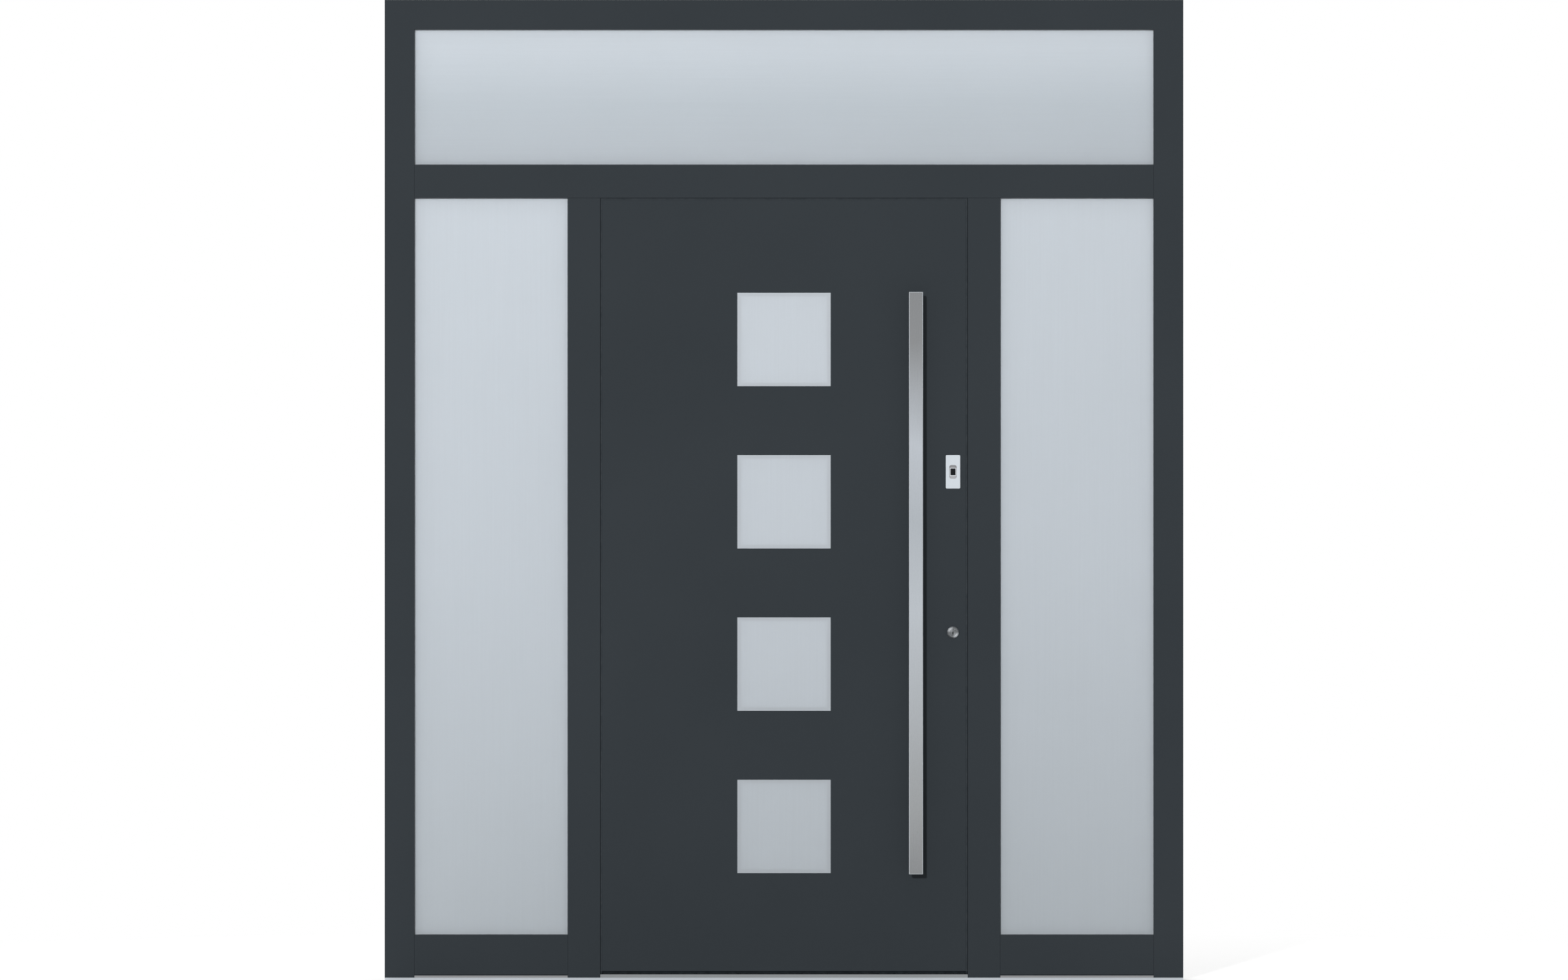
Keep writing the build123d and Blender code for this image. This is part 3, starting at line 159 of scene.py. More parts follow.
class Finish:
    """A material in the making. Its patterns follow the object's own coordinates, in metres."""

    def __init__(self, name):
        self.material = bpy.data.materials.new(name)
        self.material.use_nodes = True
        self.nodes = self.material.node_tree.nodes
        self.links = self.material.node_tree.links
        self.shader = self.nodes["Principled BSDF"]
        self.place = self.new("ShaderNodeTexCoord").outputs["Object"]
        axes = self.new("ShaderNodeSeparateXYZ")
        self.links.new(self.place, axes.inputs[0])
        self.x, self.y, self.z = axes.outputs

    def new(self, kind, **settings):
        node = self.nodes.new(kind)
        for name, value in settings.items():
            setattr(node, name, value)
        return node

    def put(self, socket, value):
        """Links an output to the socket, or sets the socket to a plain value."""
        if isinstance(value, bpy.types.NodeSocket):
            self.links.new(value, socket)
        else:
            socket.default_value = value

    def set(self, **values):
        """Sets sockets of the shader by name, with underscores for spaces."""
        for name, value in values.items():
            self.put(self.shader.inputs[name.replace("_", " ")], value)

    def sum(self, operation, first, second=0.0):
        node = self.new("ShaderNodeMath", operation=operation)
        self.put(node.inputs[0], first)
        self.put(node.inputs[1], second)
        return node.outputs[0]

    def noise(self, scale, stretch=(1, 1, 1), detail=2.0):
        """Noise with about scale patches a metre, drawn out along the axes with a small stretch."""
        stretched = self.new("ShaderNodeVectorMath", operation="MULTIPLY")
        self.put(stretched.inputs[0], self.place)
        stretched.inputs[1].default_value = stretch
        texture = self.new("ShaderNodeTexNoise")
        self.put(texture.inputs["Vector"], stretched.outputs[0])
        texture.inputs["Scale"].default_value = scale
        texture.inputs["Detail"].default_value = detail
        return texture.outputs["Fac"]

    def span(self, value, low, high, to_low=0.0, to_high=1.0, smooth=False):
        """Maps low..high to to_low..to_high and holds the ends."""
        node = self.new("ShaderNodeMapRange")
        if smooth:
            node.interpolation_type = "SMOOTHSTEP"
        self.put(node.inputs["Value"], value)
        node.inputs["From Min"].default_value = low
        node.inputs["From Max"].default_value = high
        node.inputs["To Min"].default_value = to_low
        node.inputs["To Max"].default_value = to_high
        return node.outputs["Result"]

    def spread(self, noise, low, high):
        """Maps the range in which most of a noise lies to low..high."""
        return self.span(noise, *NOISE_RANGE, low, high)

    def blend(self, first, second, share):
        """Weighted mean of two values, with so large a share of the first."""
        rest = self.sum("MULTIPLY", second, 1 - share)
        return self.sum("ADD", self.sum("MULTIPLY", first, share), rest)

    def between(self, value, low, high, edge):
        """One between low and high, zero outside, with soft edges."""
        rise = self.span(value, low, low + edge, smooth=True)
        fall = self.span(value, high - edge, high, 1.0, 0.0, smooth=True)
        return self.sum("MULTIPLY", rise, fall)

    def ramp(self, value, stops):
        """Colour along a list of (position, colour)."""
        node = self.new("ShaderNodeValToRGB")
        elements = node.color_ramp.elements
        while len(elements) < len(stops):
            elements.new(0.5)
        for element, (position, colour) in zip(elements, stops):
            element.position = position
            element.color = colour
        self.put(node.inputs["Fac"], value)
        return node.outputs["Color"]

    def mix(self, factor, first, second, blend="MIX"):
        node = self.new("ShaderNodeMix", data_type="RGBA", blend_type=blend)
        self.put(node.inputs[0], factor)
        self.put(node.inputs[6], first)
        self.put(node.inputs[7], second)
        return node.outputs[2]

    def shade(self, colour, value, low, high):
        """The colour made darker or lighter by a value from 0 to 1, from low to high times as bright."""
        grey = self.span(value, 0.0, 1.0, low, high)
        spread = self.new("ShaderNodeCombineXYZ")
        for socket in spread.inputs:
            self.put(socket, grey)
        return self.mix(1.0, colour, spread.outputs[0], "MULTIPLY")

    def bump(self, height, distance):
        node = self.new("ShaderNodeBump")
        node.inputs["Distance"].default_value = distance
        self.put(node.inputs["Height"], height)
        self.put(self.shader.inputs["Normal"], node.outputs["Normal"])


COAT_DARK = srgb(47, 52, 56)
COAT_LIGHT = srgb(53, 58, 62)
POLYAMIDE = srgb(25, 25, 27)
SET_HEIGHT = cad_high.z


def powder_coat(name, strip=None):
    """Anthracite powder coat with a fine grain, and painted light that makes it a little lighter towards
    the top. strip is the depth range of the black insulated strip.
    """
    finish = Finish(name)
    cloud = finish.noise(1.6, detail=3.0)
    grain = finish.noise(900.0)
    height = finish.span(finish.z, 0.0, SET_HEIGHT)
    tone = finish.sum("ADD", finish.sum("MULTIPLY", cloud, 0.35), finish.sum("MULTIPLY", grain, 0.3))
    # painted light: the coat is drawn a little lighter towards the top of the set
    tone = finish.sum("ADD", tone, finish.sum("MULTIPLY", height, 0.08))
    colour = finish.ramp(tone, [(0.25, COAT_DARK), (0.55, COAT_LIGHT)])
    roughness = finish.spread(grain, 0.46, 0.60)
    relief = grain
    if strip:
        low, high = strip
        mask = finish.between(finish.y, low, high, 0.0006)
        colour = finish.mix(mask, colour, finish.shade(POLYAMIDE, cloud, 0.8, 1.3))
        roughness = finish.mix(mask, roughness, finish.spread(grain, 0.62, 0.75))
        ribs = finish.sum("SINE", finish.sum("MULTIPLY", finish.y, 2100.0))
        relief = finish.sum("ADD", grain, finish.sum("MULTIPLY", finish.sum("MULTIPLY", mask, ribs), 3.0))
    finish.set(Base_Color=colour, Roughness=roughness, Specular_IOR_Level=0.08)
    finish.bump(relief, 0.00006)
    return finish.material


def drawn_aluminium(name, colour):
    """Natural anodised extrusion with fine lines along X."""
    finish = Finish(name)
    lines = finish.noise(900.0, stretch=(0.004, 1.0, 1.0), detail=3.0)
    cloud = finish.noise(3.0)
    tone = finish.blend(lines, cloud, 0.6)
    finish.set(
        Base_Color=finish.shade(colour, tone, 0.88, 1.12),
        Metallic=1.0,
        Roughness=finish.spread(lines, 0.34, 0.48),
    )
    finish.bump(lines, 0.00003)
    return finish.material


def brushed_steel(name, stretch, colour=srgb(172, 176, 180)):
    """Stainless steel brushed along the axis with the small stretch."""
    finish = Finish(name)
    lines = finish.noise(1400.0, stretch=stretch, detail=3.0)
    cloud = finish.noise(9.0)
    tone = finish.blend(lines, cloud, 0.7)
    finish.set(
        Base_Color=finish.shade(colour, tone, 0.82, 1.18),
        Metallic=1.0,
        Roughness=finish.spread(lines, 0.24, 0.38),
    )
    finish.bump(lines, 0.00002)
    return finish.material


BAR_LOW, BAR_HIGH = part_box("pull_bar")
# Painted reflections: broad bands of tone along the bar, from its foot to its top
BAR_PAINTED_REFLECTIONS = [
    (0.00, srgb(142, 144, 146)),
    (0.12, srgb(161, 164, 166)),
    (0.44, srgb(190, 196, 202)),
    (0.60, srgb(179, 185, 191)),
    (0.73, srgb(192, 198, 205)),
    (0.93, srgb(144, 146, 148)),
    (1.00, srgb(141, 143, 145)),
]
# Painted highlight on the bar's chamfers
BAR_PAINTED_BEVEL_HIGHLIGHT = srgb(214, 219, 224)


def pull_bar_steel(name):
    """Flat bar brushed along its length, with broad soft bands of painted reflection and a painted
    highlight on its bevels.
    """
    finish = Finish(name)
    lines = finish.noise(1600.0, stretch=(1.0, 1.0, 0.004), detail=3.0)
    drift = finish.noise(6.0, stretch=(1.0, 1.0, 0.4))
    # painted reflections: the bands follow the bar's height
    height = finish.span(finish.z, BAR_LOW.z, BAR_HIGH.z)
    height = finish.sum("ADD", height, finish.spread(drift, -0.02, 0.02))
    bands = finish.shade(finish.ramp(height, BAR_PAINTED_REFLECTIONS), lines, 0.92, 1.08)
    # painted highlight: faces turned partway to the front, the chamfers, take the pale tone
    turned = finish.new("ShaderNodeSeparateXYZ")
    finish.put(turned.inputs[0], finish.new("ShaderNodeTexCoord").outputs["Normal"])
    forward = finish.sum("ABSOLUTE", turned.outputs["Y"])
    bevel = finish.between(forward, 0.5, 0.9, 0.02)
    finish.set(
        Base_Color=finish.mix(bevel, bands, BAR_PAINTED_BEVEL_HIGHLIGHT),
        Metallic=1.0,
        Roughness=finish.spread(lines, 0.22, 0.36),
    )
    finish.bump(lines, 0.00002)
    return finish.material


ROSE_LOW, ROSE_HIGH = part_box("lock_roses")
CYLINDER_LOW, CYLINDER_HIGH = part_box("lock_cylinder")
LOCK_X = (ROSE_LOW.x + ROSE_HIGH.x) / 2
INNER_ROSE = (ROSE_HIGH.x - ROSE_LOW.x) / 2
CYLINDER_Z = ROSE_LOW.z + INNER_ROSE
LEVER_Z = ROSE_HIGH.z - INNER_ROSE
# The roses' steel, from its plain tone to its painted sheen
ROSE_DARK = srgb(106, 109, 111)
ROSE_PAINTED_SHEEN = srgb(204, 208, 212)
# Keyway in the cylinder, drawn near black inside as painted shade
KEYWAY_HALF_WIDTH = 0.0024
KEYWAY_REACH = (-0.0072, 0.0030)
KEYWAY_SUNK = 0.0006
KEYWAY_PAINTED_SHADE = srgb(26, 27, 28)


def turned_steel(name):
    """Roses turned on a lathe: fine rings in the bump, with painted sheen in two bright fans opposite
    each other, and painted shade in the keyway.
    """
    finish = Finish(name)
    upper = finish.sum("GREATER_THAN", finish.z, (CYLINDER_Z + LEVER_Z) / 2)
    middle = finish.span(upper, 0.0, 1.0, CYLINDER_Z, LEVER_Z)
    across = finish.sum("SUBTRACT", finish.x, LOCK_X)
    up = finish.sum("SUBTRACT", finish.z, middle)
    # painted sheen: two fans round each rose's middle, brighter outwards
    angle = finish.sum("ARCTAN2", up, across)
    painted_sheen_fan = finish.sum("SINE", finish.sum("MULTIPLY", angle, -2.0))
    radius = finish.sum("SQRT", finish.sum(
        "ADD", finish.sum("MULTIPLY", across, across), finish.sum("MULTIPLY", up, up)
    ))
    rings = finish.sum("SINE", finish.sum("MULTIPLY", radius, 9000.0))
    speckle = finish.noise(3000.0)
    outward = finish.span(radius, 0.004, 0.013, 0.15, 1.0)
    bright = finish.sum("MULTIPLY", finish.span(painted_sheen_fan, -0.1, 1.0, 0.0, 0.8), outward)
    tone = finish.sum("ADD", bright, finish.sum("MULTIPLY", speckle, 0.3))
    # painted shade: the keyway's walls, deeper than KEYWAY_SUNK into the cylinder, are drawn near black
    slot = finish.sum("LESS_THAN", finish.sum("ABSOLUTE", across), KEYWAY_HALF_WIDTH)
    slot = finish.sum("MULTIPLY", slot, finish.between(up, *KEYWAY_REACH, 0.0002))
    sunk = finish.between(
        finish.y, CYLINDER_LOW.y + KEYWAY_SUNK, CYLINDER_HIGH.y - KEYWAY_SUNK, KEYWAY_SUNK
    )
    colour = finish.ramp(tone, [(0.1, ROSE_DARK), (0.95, ROSE_PAINTED_SHEEN)])
    finish.set(
        Base_Color=finish.mix(finish.sum("MULTIPLY", slot, sunk), colour, KEYWAY_PAINTED_SHADE),
        Metallic=1.0,
        Roughness=finish.spread(speckle, 0.24, 0.36),
    )
    finish.bump(rings, 0.00001)
    return finish.material


# Satin glass as it looks from outside, from the foot of the set up; its paler top is painted light
GLASS_FOOT = srgb(181, 188, 194)
GLASS_MIDDLE = srgb(199, 206, 213)
GLASS_TOP = srgb(209, 216, 223)
SIDE_PAINTED_LIGHT = [(0.0, GLASS_FOOT), (0.5, GLASS_MIDDLE), (1.0, GLASS_TOP)]
# painted shade: the glass is drawn a little darker from left to right
GLASS_PAINTED_SIDE_SHADE = (1.028, 0.978)  # the glass darkens a little from left to right
# painted light: the transom's glass is drawn palest at its top
TOP_PAINTED_LIGHT = [(0.0, srgb(189, 196, 203)), (0.45, srgb(196, 204, 211)), (1.0, srgb(216, 223, 230))]


def satin_glass(name, node, tones, streak, clear=0.4):
    """Etched glass with fine soft streaks along one axis, and painted light that makes it pale towards
    the top and a little darker from left to right.
    """
    low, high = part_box(node)
    finish = Finish(name)
    streaks = finish.noise(260.0, stretch=streak, detail=3.0)
    cloud = finish.noise(2.0)
    sparkle = finish.noise(1800.0)
    # painted light: paler towards the top; painted shade: a little darker from left to right
    colour = finish.ramp(finish.span(finish.z, low.z, high.z), tones)
    colour = finish.shade(colour, finish.span(finish.x, -1.0, 1.0), *GLASS_PAINTED_SIDE_SHADE)
    tone = finish.blend(streaks, cloud, 0.6)
    finish.set(
        Base_Color=finish.shade(colour, tone, 0.96, 1.04),
        Roughness=finish.spread(sparkle, 0.42, 0.58),
        Specular_IOR_Level=0.3,
        Transmission_Weight=clear,
        IOR=1.5,
    )
    finish.bump(sparkle, 0.00003)
    return finish.material


def clear_glass(name):
    """Clear float glass with a faint green tint and the slightest waviness."""
    finish = Finish(name)
    wave = finish.noise(4.0)
    finish.set(
        Base_Color=finish.ramp(wave, [(0.3, (0.955, 0.975, 0.965, 1)), (0.7, (0.98, 0.99, 0.985, 1))]),
        Roughness=0.02,
        IOR=1.5,
        Transmission_Weight=1.0,
    )
    finish.bump(wave, 0.0004)
    return finish.material


RUBBER_BLACK = (srgb(27, 32, 36), srgb(37, 43, 47))
RUBBER_GREY = (srgb(46, 51, 55), srgb(55, 60, 64))
RUBBER_PALE = (srgb(150, 155, 160), srgb(176, 181, 186))


def rubber(name, tones=RUBBER_BLACK):
    """Sealing rubber, dull, with a bloom that greys it in patches."""
    finish = Finish(name)
    bloom = finish.noise(60.0, detail=4.0)
    grain = finish.noise(2200.0)
    finish.set(
        Base_Color=finish.ramp(bloom, [(0.35, tones[0]), (0.75, tones[1])]),
        Roughness=finish.spread(grain, 0.6, 0.8),
        Specular_IOR_Level=0.1,
    )
    finish.bump(grain, 0.00005)
    return finish.material


SPACER_RIBS = 2 * math.pi / 0.0025   # one rib every 2.5 mm


def spacer_bar(name):
    """Spacer between the panes: matt silver strip with fine ribs along it."""
    finish = Finish(name)
    cloud = finish.noise(40.0)
    ribs = finish.span(finish.sum("SINE", finish.sum("MULTIPLY", finish.y, SPACER_RIBS)), -1.0, 1.0)
    tone = finish.blend(ribs, cloud, 0.6)
    finish.set(
        Base_Color=finish.ramp(tone, [(0.2, srgb(146, 148, 151)), (0.8, srgb(176, 178, 181))]),
        Roughness=finish.spread(cloud, 0.5, 0.65),
        Specular_IOR_Level=0.3,
    )
    finish.bump(ribs, 0.0002)
    return finish.material


def rigid_foam(name):
    """Insulating core: yellowish closed-cell foam."""
    finish = Finish(name)
    cells = finish.new("ShaderNodeTexVoronoi")
    finish.put(cells.inputs["Vector"], finish.place)
    cells.inputs["Scale"].default_value = 700.0
    cloud = finish.noise(20.0)
    tone = finish.sum("MULTIPLY", finish.sum("ADD", cells.outputs["Distance"], cloud), 0.6)
    finish.set(
        Base_Color=finish.ramp(tone, [(0.2, srgb(190, 176, 128)), (0.8, srgb(226, 214, 170))]),
        Roughness=0.9,
    )
    finish.bump(cells.outputs["Distance"], 0.0004)
    return finish.material


READER_LOW, READER_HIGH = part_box("reader_housing")
READER_MIDDLE = (READER_LOW + READER_HIGH) / 2
DISH_HALF_WIDTH = 0.0102
DISH_HALF_HEIGHT = 0.0187
DISH_EDGE = (0.0001, 0.0004)   # depth over which the housing's colour turns into the dish's
READER_PALE = srgb(203, 210, 216)
RIM_PALE = srgb(216, 220, 224)
# the dish's top is drawn darker as painted shade from its upper rim
DISH_TOP_PAINTED_SHADE = srgb(138, 139, 141)
DISH_FOOT = srgb(172, 173, 176)


def rim_plastic(name):
    """Pale satin rim round the sensor."""
    finish = Finish(name)
    grain = finish.noise(1500.0)
    finish.set(
        Base_Color=finish.shade(RIM_PALE, grain, 0.96, 1.04),
        Roughness=finish.spread(grain, 0.30, 0.40),
        Specular_IOR_Level=0.3,
    )
    finish.bump(grain, 0.00003)
    return finish.material


def reader_plastic(name):
    """Pale satin housing with a grey dish round the sensor, and painted shade that makes the dish darker
    towards its top.
    """
    finish = Finish(name)
    grain = finish.noise(1500.0)
    across = finish.sum("ABSOLUTE", finish.sum("SUBTRACT", finish.x, READER_MIDDLE.x))
    up = finish.sum("SUBTRACT", finish.z, READER_MIDDLE.z)
    inside = finish.sum(
        "MULTIPLY",
        finish.sum("LESS_THAN", across, DISH_HALF_WIDTH),
        finish.sum("LESS_THAN", finish.sum("ABSOLUTE", up), DISH_HALF_HEIGHT),
    )
    sunk = finish.span(finish.y, READER_LOW.y + DISH_EDGE[0], READER_LOW.y + DISH_EDGE[1])
    # painted shade: the dish darkens towards its top
    dish = finish.ramp(
        finish.span(up, -DISH_HALF_HEIGHT, DISH_HALF_HEIGHT), [(0.3, DISH_FOOT), (0.8, DISH_TOP_PAINTED_SHADE)]
    )
    colour = finish.mix(finish.sum("MULTIPLY", inside, sunk), READER_PALE, dish)
    finish.set(
        Base_Color=finish.shade(colour, grain, 0.97, 1.03),
        Roughness=finish.spread(grain, 0.36, 0.46),
        Specular_IOR_Level=0.3,
    )
    finish.bump(grain, 0.00003)
    return finish.material


def sensor_glass(name):
    """Black gloss window of the fingerprint sensor, with a faint grid under it."""
    finish = Finish(name)
    rows = finish.sum("SINE", finish.sum("MULTIPLY", finish.z, 5200.0))
    columns = finish.sum("SINE", finish.sum("MULTIPLY", finish.x, 5200.0))
    grid = finish.span(finish.sum("MULTIPLY", rows, columns), -1.0, 1.0)
    finish.set(
        Base_Color=finish.ramp(grid, [(0.2, srgb(14, 17, 20)), (0.9, srgb(26, 30, 33))]),
        Roughness=finish.span(grid, 0.0, 1.0, 0.10, 0.16),
        Specular_IOR_Level=0.1,
    )
    return finish.material


# Where the black insulated strip shows between the two metal halves of the bars
BREAK_DEPTH = 0.030            # insulated zone behind the frame's lip
BREAK_INSET = 0.0015           # metal that covers each end of that zone
LEAF_BEHIND_SEAL = 0.008       # face of the stop seal to the strip in the leaf
SEAL_LOW, SEAL_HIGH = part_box("door_stop_seal")
BREAK_END = SEAL_LOW.y + BREAK_DEPTH - BREAK_INSET
FRAME_STRIP = (SEAL_LOW.y + BREAK_INSET, BREAK_END)
LEAF_STRIP = (SEAL_HIGH.y + LEAF_BEHIND_SEAL, BREAK_END)

frame_coat = powder_coat("frame_powder_coat", FRAME_STRIP)
stile_coat = powder_coat("stile_powder_coat", LEAF_STRIP)
plain_coat = powder_coat("powder_coat")
seal_rubber = rubber("seal_rubber_finish")
grey_rubber = rubber("grey_rubber_finish", RUBBER_GREY)
pale_rubber = rubber("pale_rubber_finish", RUBBER_PALE)
spacer_finish = spacer_bar("spacer_finish")
inner_glass = clear_glass("clear_glass_finish")
upright_steel = brushed_steel("steel_brushed_upright", (1.0, 1.0, 0.01))
across_steel = brushed_steel("steel_brushed_across", (0.01, 1.0, 1.0))
screw_steel = brushed_steel("screw_steel", (1.0, 1.0, 1.0), srgb(188, 190, 192))
rose_steel = turned_steel("rose_steel")
reader_finish = reader_plastic("reader_finish")

UPRIGHT_STREAK = (1.0, 1.0, 0.012)
LEVEL_STREAK = (0.012, 1.0, 1.0)

finishes = {
    # The threshold and the strips are the sill's aluminium drawn in a darker grey: painted shade under
    # the leaf and the side lights' rails
    "base_sill": drawn_aluminium("sill_finish", srgb(200, 206, 212)),
    "door_threshold": drawn_aluminium("threshold_shaded_aluminium", srgb(153, 157, 159)),
    "sidelight_strips": drawn_aluminium("strip_shaded_aluminium", srgb(156, 157, 159)),
    "transom_outer_pane": satin_glass("top_satin", "transom_outer_pane", TOP_PAINTED_LIGHT, LEVEL_STREAK),
    "left_sidelight_outer_pane": satin_glass(
        "left_satin", "left_sidelight_outer_pane", SIDE_PAINTED_LIGHT, UPRIGHT_STREAK
    ),
    "right_sidelight_outer_pane": satin_glass(
        "right_satin", "right_sidelight_outer_pane", SIDE_PAINTED_LIGHT, UPRIGHT_STREAK
    ),
    "leaf_outer_panes": satin_glass(
        "leaf_satin", "left_sidelight_outer_pane", SIDE_PAINTED_LIGHT, UPRIGHT_STREAK, 0.3
    ),
    "light_inner_panes": inner_glass,
    "leaf_inner_panes": inner_glass,
    "light_spacers": spacer_finish,
    "leaf_pane_spacers": spacer_finish,
    "leaf_core": rigid_foam("foam_finish"),
    "pull_bar": pull_bar_steel("pull_bar_steel"),
    "pull_bar_standoffs": across_steel,
    "reader_housing": reader_finish,
    "reader_sensor": sensor_glass("sensor_finish"),
    "lock_roses": rose_steel,
    "lock_cylinder": rose_steel,
    "lock_faceplate": upright_steel,
    "lock_bolts": upright_steel,
    "strike_plates": upright_steel,
    "lever_handle": across_steel,
    "hinge_frame_parts": upright_steel,
    "hinge_leaf_parts": upright_steel,
}
for name in (
    "left_jamb", "right_jamb", "head_rail", "transom_bar",
    "left_mullion", "right_mullion", "left_sidelight_rail", "right_sidelight_rail",
):
    finishes[name] = frame_coat
for name in ("leaf_hinge_stile", "leaf_lock_stile", "leaf_top_rail", "leaf_bottom_rail"):
    finishes[name] = stile_coat
for name in (
    "transom_glazing_beads", "sidelight_glazing_beads",
    "leaf_outer_skin", "leaf_inner_skin", "leaf_window_frames",
):
    finishes[name] = plain_coat
for name in ("door_stop_seal", "leaf_bottom_seal"):
    finishes[name] = seal_rubber
finishes["leaf_window_seals"] = grey_rubber
finishes["glazing_gaskets"] = pale_rubber

for name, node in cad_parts.items():
    for slot in node.material_slots:
        slot.material = finishes[name]


# Small pieces

def loft(mesh, loops, around=False):
    """Joins loops of points to a closed skin. With around, the last loop joins the first."""
    rings = [[mesh.verts.new(point) for point in loop] for loop in loops]
    following = rings[1:] + rings[:1] if around else rings[1:]
    for first, second in zip(rings, following):
        for here in range(len(first)):
            there = (here + 1) % len(first)
            mesh.faces.new((first[here], first[there], second[there], second[here]))
    if not around:
        mesh.faces.new(rings[0][::-1])
        mesh.faces.new(rings[-1])


def piece(name, mesh, body, finish):
    """Makes an object of the mesh, which rides on a body of the door."""
    bmesh.ops.recalc_face_normals(mesh, faces=mesh.faces)
    data = bpy.data.meshes.new(name)
    mesh.to_mesh(data)
    mesh.free()
    data.materials.append(finish)
    data.shade_smooth()
    data.set_sharp_from_angle(angle=SHARP_EDGE)
    made = bpy.data.objects.new(name, data)
    bpy.context.scene.collection.objects.link(made)
    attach(made, body)
    return made


def facing(place, direction):
    """Matrix that sets z along a direction, at a place."""
    turn = Vector(direction).to_track_quat("Z", "Y").to_matrix().to_4x4()
    return Matrix.Translation(place) @ turn


def ring(matrix, radius, height, segments, lobes=0, depth=0.0):
    """Circle of points round the matrix's z, with lobes if asked for."""
    points = []
    for step in range(segments):
        angle = 2 * math.pi * step / segments
        reach = radius * (1 + depth * math.cos(lobes * angle))
        points.append(matrix @ Vector((reach * math.cos(angle), reach * math.sin(angle), height)))
    return points


def screws(name, places, direction, radius, body):
    """Countersunk screw heads with a six-lobed recess, all facing one way."""
    mesh = bmesh.new()
    for place in places:
        matrix = facing(place, direction)
        recess = radius * RECESS_SHARE
        floor = SCREW_PROUD - SCREW_RECESS
        loft(mesh, [
            ring(matrix, radius, -SCREW_SEAT, SCREW_SEGMENTS),
            ring(matrix, radius, SCREW_RIM, SCREW_SEGMENTS),
            ring(matrix, radius * HEAD_TAPER, SCREW_PROUD, SCREW_SEGMENTS),
            ring(matrix, recess, SCREW_PROUD, SCREW_SEGMENTS, SCREW_LOBES, LOBE_DEPTH),
            ring(matrix, recess * RECESS_TAPER, floor, SCREW_SEGMENTS, SCREW_LOBES, LOBE_DEPTH),
        ])
    return piece(name, mesh, body, screw_steel)


PLATE_LOW, PLATE_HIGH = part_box("lock_faceplate")
STRIKE_LOW, STRIKE_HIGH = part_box("strike_plates")
PLATE_Y = (PLATE_LOW.y + PLATE_HIGH.y) / 2
STRIKE_ENDS = (1.860, 1.740, 1.118, 0.936, 0.420, 0.300)   # top and foot of each of the three plates
FACEPLATE_SCREWS = (1.740, 1.450, 1.180, 0.900, 0.640)     # heights between its two ends

strike_places = []
for count, end in enumerate(STRIKE_ENDS):
    inward = PLATE_SCREW_END if count % 2 else -PLATE_SCREW_END
    strike_places.append((STRIKE_LOW.x, PLATE_Y, end + inward))
screws("strike_plate_screws", strike_places, (-1, 0, 0), PLATE_SCREW, "frame")

faceplate_heights = [PLATE_HIGH.z - PLATE_SCREW_END, PLATE_LOW.z + PLATE_SCREW_END, *FACEPLATE_SCREWS]
faceplate_places = [(PLATE_HIGH.x, PLATE_Y, height) for height in faceplate_heights]
screws("faceplate_screws", faceplate_places, (1, 0, 0), PLATE_SCREW, "leaf")

POST_LOW, POST_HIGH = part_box("pull_bar_standoffs")
POST_X = (POST_LOW.x + POST_HIGH.x) / 2
POST_DIAMETER = POST_HIGH.x - POST_LOW.x
POST_GRUB_Y = POST_LOW.y + BAR_GRUB_GAP
post_places = [(POST_X, POST_GRUB_Y, foot) for foot in (POST_LOW.z, POST_HIGH.z - POST_DIAMETER)]
screws("standoff_grub_screws", post_places, (0, 0, -1), GRUB_SCREW, "leaf")

neck_place = (LOCK_X, ROSE_HIGH.y + LEVER_GRUB_GAP, LEVER_Z - LEVER_NECK)
screws("lever_grub_screw", [neck_place], (0, 0, -1), GRUB_SCREW, "leaf")

FRAME_WING_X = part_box("hinge_frame_parts")[0].x + WING_SCREW_EDGE
LEAF_WING_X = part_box("hinge_leaf_parts")[1].x - WING_SCREW_EDGE
WING_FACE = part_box("left_jamb")[1].y + WING_THICK
for body, column in (("frame", FRAME_WING_X), ("leaf", LEAF_WING_X)):
    places = [(column, WING_FACE, height + row) for height in HINGE_HEIGHTS for row in HINGE_SCREW_ROWS]
    screws(body + "_hinge_screws", places, (0, 1, 0), HINGE_SCREW, body)


def plug_rings():
    """Thin collars round the key plug, on both ends of the cylinder."""
    inner, outer = PLUG_RING
    bevel = PLUG_RING_PROUD
    mesh = bmesh.new()
    for end, side in ((CYLINDER_LOW.y, -1), (CYLINDER_HIGH.y, 1)):
        matrix = facing((LOCK_X, end, CYLINDER_Z), (0, side, 0))
        loft(mesh, [
            ring(matrix, outer, 0.0, ROUND_SEGMENTS),
            ring(matrix, outer - bevel, PLUG_RING_PROUD, ROUND_SEGMENTS),
            ring(matrix, inner + bevel / 2, PLUG_RING_PROUD, ROUND_SEGMENTS),
            ring(matrix, inner, 0.0, ROUND_SEGMENTS),
        ], around=True)
    piece("cylinder_plug_rings", mesh, "leaf", screw_steel)


plug_rings()


def hinge_caps():
    """Domed caps on both ends of each hinge barrel."""
    mesh = bmesh.new()
    for height in HINGE_HEIGHTS:
        for side in (-1, 1):
            matrix = facing(HINGE_AXIS + Vector((0, 0, height + side * HINGE_HALF)), (0, 0, side))
            loft(mesh, [
                ring(matrix, BARREL_RADIUS * wide, CAP_HEIGHT * high, ROUND_SEGMENTS)
                for wide, high in CAP_PROFILE
            ])
    piece("hinge_caps", mesh, "frame", upright_steel)


hinge_caps()


